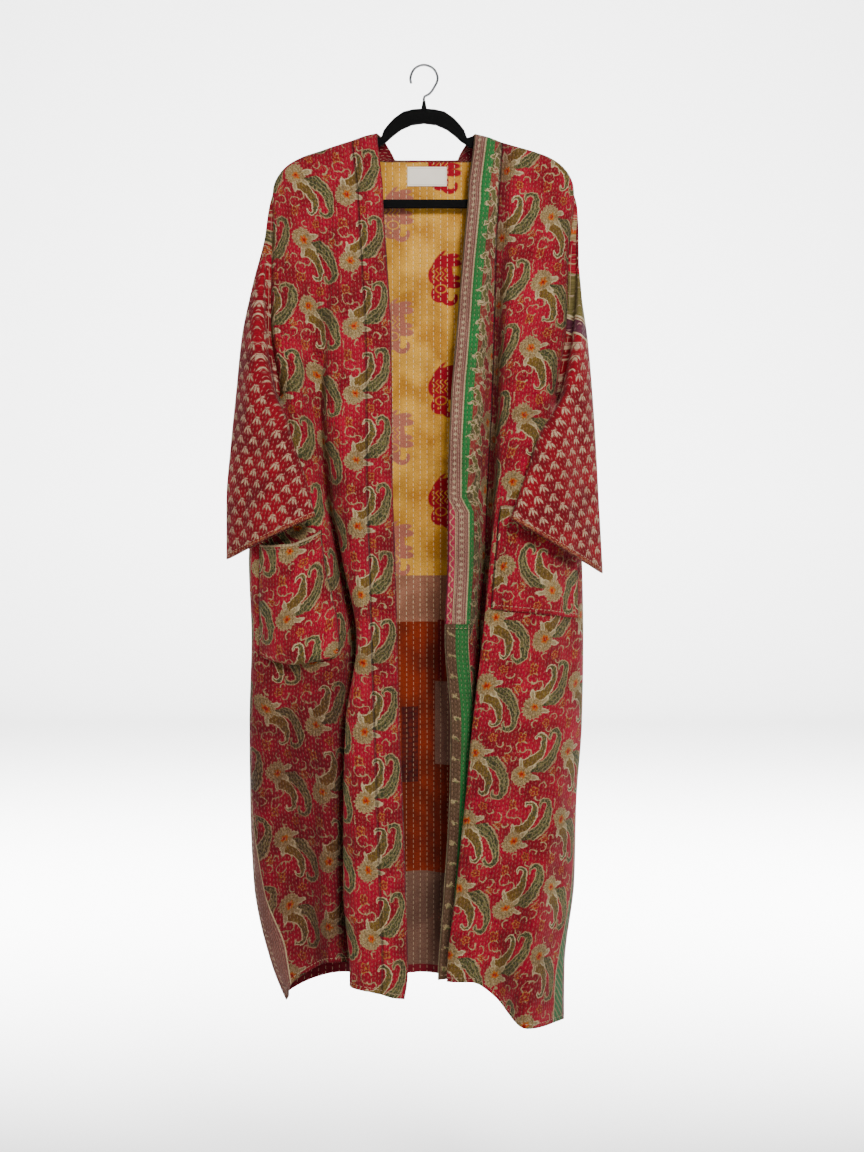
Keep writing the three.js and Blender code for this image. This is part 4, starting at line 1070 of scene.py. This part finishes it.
def upper_trim(colour, place):
    """From the free edge: a mauve lined border, a green one, and leaves that overlap it."""
    u, v = split(place)
    strip = ranged(v, 626.0, 648.0, 0.0, 11.0)
    u = minus(u, strip)
    green = ranged(v, 520.0, 640.0, 33.0, 27.0)
    colour = mixed(ranged(u, 40.0, 60.0, 0.45, 0.0), colour, "#5A4A34")
    colour = laid(colour, GREEN, minus(u, green))
    offset = loose_repeat(point(u, v), 24)
    for x, y, long, short, angle in (
        (40, 0, 13, 4.6, 70), (34, 12, 6, 2.4, 20), (34, -10, 6, 2.2, -30),
        (48, 16, 9, 3.4, 80), (49, -14, 7, 2.6, 40),
    ):
        leaf = oval(offset, x, y, long, short, angle)
        colour = outlined(colour, "#5E5C32", CREAM_LINE, leaf, 1.3)
    colour = laid(colour, CREAM_LINE, between(u, 18.5, 20.3))
    colour = laid(colour, trim_stripes(u, v), minus(u, 18.5))
    colour = laid(colour, CREAM_LINE, minus(u, 1.6))
    return laid(colour, scroll_strip(plus(u, strip), v), u)


def lower_trim(colour, place):
    """From the free edge: an olive border, a wide green one, and a cream line."""
    u, v = split(place)
    colour = laid(colour, CREAM_LINE, minus(u, 36.0))
    colour = laid(colour, GREEN, minus(u, 34.5))
    offset = loose_repeat(place, 15)
    for x, y, long, short, angle in ((9, 0, 6, 11, 25), (12, 16, 3, 7, -50)):
        leaf = oval(offset, x, y, long, short, angle)
        leaf_ground = laid("#5C4632", "#A08C62", minus(leaf, 1.0))
        leaf_ground = laid(leaf_ground, "#5A6038", plus(leaf, 0.8))
        colour = laid(colour, leaf_ground, minus(u, 16.0))
    return laid(colour, CREAM_LINE, minus(u, 1.5))


def right_border(colour, place):
    """A mauve lined border down the lower part of the side seam, and painted shade on the panel's lower side
    part beside it.
    """
    side, _ = edges()
    u, v = split(place)
    inner = minus(side, ranged(v, 1010.0, 1220.0, 0.0, 36.0))
    there = both(inner, plus(u, 60.0))
    # painted shade: below about 780 mm down and over 75 mm out from the band's seam, the panel is darkened
    # towards #3C0610 for the shadow its lower side part hangs in
    lower = times(ranged(v, 780.0, 960.0, 0.0, 0.5), ranged(u, -115.0, -75.0, 1.0, 0.0))
    colour = mixed(lower, colour, "#3C0610")
    lined = mixed(0.4, trim_stripes(side, v), "#5A1420")
    colour = laid(colour, lined, there)
    return laid(colour, CREAM_LINE, both(there, minus(-1.6, inner)))


def left_border(colour, place):
    """A green border that widens downwards beside the slit, with a cream line inside it; painted shade
    darkens the panel beside its seam to the band.
    """
    side, _ = edges()
    u, v = split(place)
    # painted shade: the first 6 to 24 mm from the band's seam darkened towards #3C0610, for the shadow of
    # the deep fold there
    painted_seam_shade = ranged(u, 6.0, 24.0, 0.6, 0.0)
    colour = mixed(painted_seam_shade, colour, "#3C0610")
    width = ranged(v, 1090.0, 1340.0, 0.0, 38.0)
    inner = minus(side, width)
    there = both(inner, minus(60.0, u))
    mottled = laid("#2C6238", "#8A7A58", every(plus(v, side), 11, 2.2), 1.2)
    colour = laid(colour, mottled, there)
    colour = laid(colour, "#7A5650", both(there, minus(side, 9.0)))
    return laid(colour, CREAM_LINE, both(there, minus(-1.6, inner)))


def mouth_edge(colour, place):
    """A narrow cream binding along the mouth of a pocket."""
    _, v = split(place)
    return laid(colour, CREAM_LINE, minus(v, 3.2))


def printed_cotton(name, shift, extra=None, flip=1):
    """Block-printed quilted cotton: matt, slightly fuzzy, puckered by rows of running stitches."""
    material = cloth_material(name, *COTTON)
    place = on_cloth()
    moved = shifted_by(scaled(place, (flip, 1, 1)), (*shift, 0))
    colour = paisley(ground(place, RED, DEEP_RED), paisley_cell(moved))
    if extra:
        colour = extra(colour, place)
    stitch = stitches(place, pitch=5.2, long=2.6, gap=4.4, width=0.7, jitter=6.0)
    colour = laid(aged(colour, place), "#B08874", stitch, 0.25, 0.35)
    colour, height = hemmed(colour, quilted_relief(place, stitch))
    finish_cloth(material, colour, height, 0.0028)
    return material


def sprig_cotton(name, lean, upper, strips):
    """The sleeves' burgundy cotton with small cream sprigs, and a paisley piece at the shoulder."""
    material = cloth_material(name, *COTTON)
    separate = put("SeparateXYZ", in_millimetres(in_object())).node
    up = separate.outputs[2]
    place = turned_by(scaled(on_cloth(), (1, -1, 1)), lean)
    u, v = split(place)
    half = SPRIG_PITCH / 2
    row = whole(ratio(v, SPRIG_ROW))
    shifted = multiply_add(back_and_forth(row, 1.0), half, u)
    cell = put("VectorMath.WRAP", point(shifted, v), (half, SPRIG_ROW, 1), (-half, 0, -1))
    cell = less(shifted_by(cell, waver(place, 0.25, 1.0, 3)), (0, SPRIG_ROW / 2 - 0.05, 0))
    number = whole(ratio(plus(shifted, half), SPRIG_PITCH))
    chance = put("TexWhiteNoise", Vector=point(number, row), noise_dimensions="2D")
    turn = ranged(chance, 0.0, 1.0, -0.6, 0.6)
    cell = put("VectorRotate", cell, turn, rotation_type="Z_AXIS")
    colour = ground(place, "#8E061A", "#6C0614")
    for x, y, long, short, angle in (
        (-4.2, 0.4, 5.2, 1.5, 64), (0, 0.6, 5.6, 1.5, 94), (4.2, -0.4, 4.7, 1.5, 120), (0, 5.4, 3.4, 1.2, 6),
    ):
        leaf = oval(cell, x, y, long, short, angle)
        colour = outlined(colour, "#B69878", "#843838", leaf, 0.5)
    flat = scaled(place, (1, -1, 1))
    shoulder = paisley(ground(place, RED, DEEP_RED), paisley_cell(flat))
    outwards = absolute(separate.outputs[0])
    down = times(multiply_add(outwards, 0.5, up), -1.0)
    colour = laid(colour, shoulder, minus(down, upper))
    for low, high, tint in strips:
        colour = laid(colour, tint, between(down, low, high))
    _, end = edges()
    cuff = both(minus(end, 4.6), plus(up, 560.0))
    fleck = ranged(put("TexVoronoi", Vector=place, Scale=0.5), 0.2, 0.5, 0.0, 1.0)
    colour = laid(colour, mixed(fleck, "#B08450", "#7A1A1C"), cuff)
    stitch = stitches(place, pitch=5.6, long=2.6, gap=4.2, width=0.7, jitter=3.0)
    colour = laid(aged(colour, place), "#C8A890", stitch, 0.25, 0.35)
    colour, height = hemmed(colour, quilted_relief(place, stitch))
    finish_cloth(material, colour, height, 0.0018)
    return material


def plain_cotton(name, first, second):
    """The plain red cotton on the inside of the sleeves, fronts and bands."""
    material = cloth_material(name, *COTTON)
    place = on_cloth()
    stitch = stitches(place, pitch=6, long=3, gap=4, width=0.8, jitter=4.0)
    colour = laid(aged(ground(place, first, second), place), "#C8B090", stitch, 0.25, 0.5)
    finish_cloth(material, colour, quilted_relief(place, stitch), 0.0011)
    return material


def patch(place, left, right, top, bottom):
    u, v = split(place)
    return both(between(u, left, right), between(v, top, bottom))


def elephant(place):
    """A plain block-printed elephant that faces left, about 75 mm long."""
    parts = [oval(place, *part) for part in (
        (6, 4, 27, 16, 0), (-23, 7, 13, 13, 0), (-10, -13, 5.5, 12, 0), (0, -12, 4.6, 11, 0),
        (22, -13, 5.5, 12, 0), (31, -10, 4.4, 12, 8), (35, 4, 7, 2, -50), (4, 18, 12, 6, 0),
    )]
    trunk, _ = horn(less(place, (-28, -8, 0)), 9, 80, 210, 5, 2)
    shape = trunk
    for part in parts:
        shape = put("Math.SMOOTH_MIN", shape, part, 2.0)
    saddle = both(parts[0], patch(place, -6, 16, -6, 20))
    x, y = split(place)
    slant = plus(back_and_forth(x, 5.5), y)
    lines = both(plus(saddle, 1.5), every(slant, 6.5, 1.5))
    ear = line_of(oval(place, -16, 5, 6, 8, 0), 1.2)
    eye = oval(place, -27, 9, 1.4, 1.4, 0)
    holes = least(least(lines, ear), eye)
    return both(shape, minus(0.0, holes))


def lining_cotton():
    """The back's inside, pieced from older printed cottons and quilted in white, with a painted shadow of
    the left band.
    """
    material = cloth_material("pieced_lining_cotton", *COTTON)
    separate = put("SeparateXYZ", in_millimetres(in_object())).node
    x, down = separate.outputs[0], times(separate.outputs[2], -1.0)
    place = point(x, down)
    colour = ground(place, "#E2A63C", "#B87C24")
    left = put("Math.LESS_THAN", x, -8.0)
    from_middle = put("Mix", left, (-30, -304, 0), (40, -211, 0), data_type="VECTOR")
    ox, oy = split(repeated(shifted_by(place, from_middle), ELEPHANT_PITCH / 2))
    turned = point(times(oy, -1.0), times(ox, -1.0))
    animal = mixed(left, "#9A081E", "#A86450")
    colour = laid(colour, animal, elephant(turned), 0.7)
    stitch = stitches(place, pitch=10, long=3.5, gap=4, width=0.9, jitter=1.5)
    lower = ranged(down, 805.0, 807.0, 0.6, 0.3)
    for top, first, second in (
        (738, "#9A6850", "#865842"), (806, "#84280A", "#661E08"),
        (1173, "#725242", "#624638"), (1310, "#6E0E1C", "#5C0A18"),
    ):
        colour = laid(colour, ground(place, first, second), minus(top, down))
    blocks = put("TexVoronoi", Vector=place, Scale=0.14, Randomness=0.4)
    dotted = both(patch(place, -33, -9, 931, 1042), minus(0.26, blocks))
    colour = laid(colour, "#160C14", dotted, 0.6, 0.9)
    # painted shadow: a darker strip down the rust cotton at x 20 to 30 mm, where the left band shades the
    # lining
    colour = laid(colour, "#6A1616", patch(place, 20, 30, 803, 890))
    colour = laid(colour, "#7C5848", patch(place, 16, 38, 893, 1015))
    sewn = times(ranged(stitch, -0.25, 0.25, 1.0, 0.0), lower)
    colour = mixed(sewn, aged(colour, place), "#D8C49C")
    finish_cloth(material, colour, quilted_relief(place, stitch), 0.0013)
    return material


def label_satin():
    """The bare woven neck label: off-white with a fine rib and a folded edge."""
    material = cloth_material("woven_label", 0.6, 0.05)
    place = on_cloth()
    _, down = split(place)
    fold = least(*edges())
    colour = ground(place, "#FFF4E2", "#F6EAD6")
    colour = laid(colour, "#A69C8A", line_of(minus(fold, 2.2), 0.5), 0.2, 0.6)
    rib = sine(times(down, 9.0))
    finish_cloth(material, colour, rib, 0.0001)
    return material


def flocked_plastic():
    """The hanger's black flocking: very dark, no gloss, a faint pile."""
    material = cloth_material("black_flocking", 0.95, 0.02)
    pile = noise(in_object(), 1400.0)
    colour = mixed(ranged(pile, 0.3, 0.7, 0.0, 1.0), "#020202", "#090909")
    finish_cloth(material, colour, pile, 0.0003)
    return material


def hook_steel():
    """Bright drawn wire with a faint fine grain."""
    material = cloth_material("drawn_steel_wire", 0.25, 0.0)
    tree = material.node_tree
    shader = tree.nodes["Principled BSDF"]
    shader.inputs["Metallic"].default_value = 1.0
    grain = noise(in_object(), 900.0)
    colour = mixed(grain, "#8A8C90", "#C4C6CA")
    tree.links.new(ranged(grain, 0.3, 0.7, 0.18, 0.34), shader.inputs["Roughness"])
    finish_cloth(material, colour, grain, 0.00004)
    return material


# The stage
def add_stage():
    """A pale floor that curves up into a pale wall, lit softly."""
    bpy.ops.object.select_all(action="DESELECT")
    bpy.ops.mesh.primitive_plane_add(size=14, location=(0, 3.6, -1.72))
    floor = bpy.context.object
    floor.name = "floor"
    bpy.ops.object.mode_set(mode="EDIT")
    bpy.ops.mesh.select_all(action="DESELECT")
    bpy.ops.mesh.select_mode(type="EDGE")
    bpy.ops.object.mode_set(mode="OBJECT")
    far = max(v.co.y for v in floor.data.vertices)
    for edge in floor.data.edges:
        edge.select = all(abs(floor.data.vertices[i].co.y - far) < 1e-4 for i in edge.vertices)
    bpy.ops.object.mode_set(mode="EDIT")
    bpy.ops.mesh.extrude_region_move(TRANSFORM_OT_translate={"value": (0, 0, 9)})
    bpy.ops.object.mode_set(mode="OBJECT")
    bend = floor.modifiers.new("bend", "BEVEL")
    bend.width = 1.5
    bend.segments = 12
    bend.limit_method = "ANGLE"
    bpy.ops.object.modifier_apply(modifier=bend.name)
    bpy.ops.object.shade_smooth()
    material = bpy.data.materials.new("pale_floor")
    material.use_nodes = True
    shader = material.node_tree.nodes["Principled BSDF"]
    shader.inputs["Base Color"].default_value = paint("#F2F2F2")
    shader.inputs["Roughness"].default_value = 0.9
    floor.data.materials.append(material)
    world = bpy.data.worlds.new("studio")
    bpy.context.scene.world = world
    world.use_nodes = True
    background = world.node_tree.nodes["Background"]
    background.inputs["Color"].default_value = paint("#FFFFFF")
    background.inputs["Strength"].default_value = 0.26
    for name, place, size, power in (
        ("key", (0.8, -2.85, 0.85), 0.7, 129),
        ("fill", (-1.9, -2.4, 0.6), 1.2, 9),
        ("wall_left", (-2.4, 1.2, 1.8), 2.5, 2600),
        ("wall_right", (2.4, 1.2, 1.8), 2.5, 2600),
    ):
        light = bpy.data.lights.new(name, "AREA")
        light.size = size
        light.energy = power
        lamp = bpy.data.objects.new(name, light)
        target = (place[0] * 0.6, 9, 0) if name.startswith("wall") else (0, 0, -0.72)
        lamp.location = place
        aim = [t - p for t, p in zip(target, place)]
        lamp.rotation_euler = mathutils.Vector(aim).to_track_quat("-Z", "Y").to_euler()
        bpy.context.scene.collection.objects.link(lamp)


add_camera()
add_stage()

panel_right = front_panel(FRONT_RIGHT, SHOULDER_RIGHT)
panel_left = front_panel(FRONT_LEFT, SHOULDER_LEFT)
panel_back = back_panel()
for panel, creases, facing, seed, height in (
    (panel_right, RIGHT_CREASES, -1, 11, FRONT_UNEVEN), (panel_left, LEFT_CREASES, -1, 12, FRONT_UNEVEN),
    (panel_back, BACK_CREASES, 1, 13, 1.0),
):
    panel["points"] = uneven(creased(panel["points"], creases, facing), facing, seed, height)
band_right = front_band(BAND_RIGHT, SHOULDER_RIGHT, panel_right, 0)
band_left = front_band(BAND_LEFT, SHOULDER_LEFT, panel_left, -1)
collar_band = neck_band()
tube_right = sleeve(SLEEVE_RIGHT, panel_right, panel_back, -1)
tube_left = sleeve(SLEEVE_LEFT, panel_left, panel_back, 1)
for tube, creases, seed in ((tube_right, SLEEVE_RIGHT_CREASES, 14), (tube_left, SLEEVE_LEFT_CREASES, 15)):
    front, back = np.s_[:, :ARM_ROWS + 1], np.s_[:, ARM_ROWS + 1:]
    tube[front] = uneven(creased(tube[front], creases, -1), -1, seed, PART_UNEVEN)
    tube[back] = uneven(creased(tube[back], creases, 1), 1, seed + 10, PART_UNEVEN)
for band, seed in ((band_right, 16), (band_left, 17)):
    band["points"] = uneven(band["points"], -1, seed, PART_UNEVEN)
for piece, column in ((panel_left, 0), (band_left, -1)):
    piece["points"] = sunk_seam(piece["points"], column, *LEFT_SINK)
for panel, columns in ((panel_right, (0,)), (panel_left, (-1,)), (panel_back, (0, -1))):
    panel["points"] = filled_underarm(panel["points"], columns)
join = ARM_ROWS + round(BODY_ROWS * BAND_JOIN_SHARE)

right_lengths = panel_lengths(panel_right["points"], -1)
left_lengths = panel_lengths(panel_left["points"], 0)
band_right_lengths = panel_lengths(band_right["points"], 0)
band_left_lengths = panel_lengths(band_left["points"], 0)
back_lengths = panel_lengths(panel_back["points"], panel_back["points"].shape[1] // 2)
pocket_right = pocket(POCKET_RIGHT, panel_right)
pocket_left = pocket(POCKET_LEFT, panel_left)
label_points = label(panel_back)
arm_right, arm_left = tubed(tube_right), tubed(tube_left)

strips = (
    (196, 262, "#6A6034"), (258, 261, "#C4B088"), (263, 265, "#C4B088"),
    (265, 284, "#5A2A38"), (284, 287, "#C4B088"),
)
inside = plain_cotton("plain_inner_cotton", "#6E0E1C", "#5A0A16")
lining = lining_cotton()
right_print = printed_cotton("quilted_cotton_right", (35, -18), right_border)
left_print = printed_cotton("quilted_cotton_left", (9, -80), left_border)
back_print = printed_cotton("quilted_cotton_back", (0, 0))
collar_print = printed_cotton("quilted_cotton_collar", (10, 30))
upper_print = printed_cotton("border_cotton_upper", (20, 10), upper_trim)
lower_print = printed_cotton("border_cotton_lower", (20, 10), lower_trim)
pocket_right_print = printed_cotton("pocket_cotton_right", (-35, -33), mouth_edge)
pocket_left_print = printed_cotton("pocket_cotton_left", (106, -42), mouth_edge, -1)
sleeve_right_print = sprig_cotton("sprig_cotton_right", 10, 176.0, ())
sleeve_left_print = sprig_cotton("sprig_cotton_left", -10, 196.0, strips)

# The order of a grid's rows and columns that turns its first side outward
AS_LAID, UPWARD, LEFTWARD = np.s_[:], np.s_[::-1], np.s_[:, ::-1]
upper, lower = np.s_[:join + 1], np.s_[join:]
SHEETS = {
    "front_right": (panel_right["points"], right_lengths, right_print, inside, UPWARD),
    "front_left": (panel_left["points"], left_lengths, left_print, inside, UPWARD),
    "back": (panel_back["points"], back_lengths, back_print, lining, AS_LAID),
    "band_right": (band_right["points"], band_right_lengths, right_print, inside, UPWARD),
    "band_left_upper": (band_left["points"][upper], band_left_lengths[upper], upper_print, inside, UPWARD),
    "band_left_lower": (band_left["points"][lower], band_left_lengths[lower], lower_print, inside, UPWARD),
    "band_back_neck": (collar_band, cloth_lengths(collar_band), collar_print, inside, UPWARD),
    "sleeve_right": (arm_right, tube_lengths(arm_right, -1), sleeve_right_print, inside, LEFTWARD),
    "sleeve_left": (arm_left, tube_lengths(arm_left, 1), sleeve_left_print, inside, AS_LAID),
    "pocket_right": (pocket_right, cloth_lengths(pocket_right), pocket_right_print, inside, UPWARD),
    "pocket_left": (pocket_left, cloth_lengths(pocket_left), pocket_left_print, inside, UPWARD),
}
SHEETS["neck_label"] = (label_points, cloth_lengths(label_points), label_satin(), None, AS_LAID)

for name, (points, lengths, outer, inner, order) in SHEETS.items():
    materials = [outer, inner] if inner else [outer]
    thickness = CLOTH if inner else LABEL_CLOTH
    tube = name.startswith("sleeve")
    piece = make_sheet(name, points[order], lengths[order], thickness, materials, tube)
for name, made in (
    ("hanger", flocked_plastic()), ("hook_collar", flocked_plastic()), ("hanger_hook", hook_steel()),
):
    node = bpy.data.objects[name]
    node.data.materials.clear()
    node.data.materials.append(made)
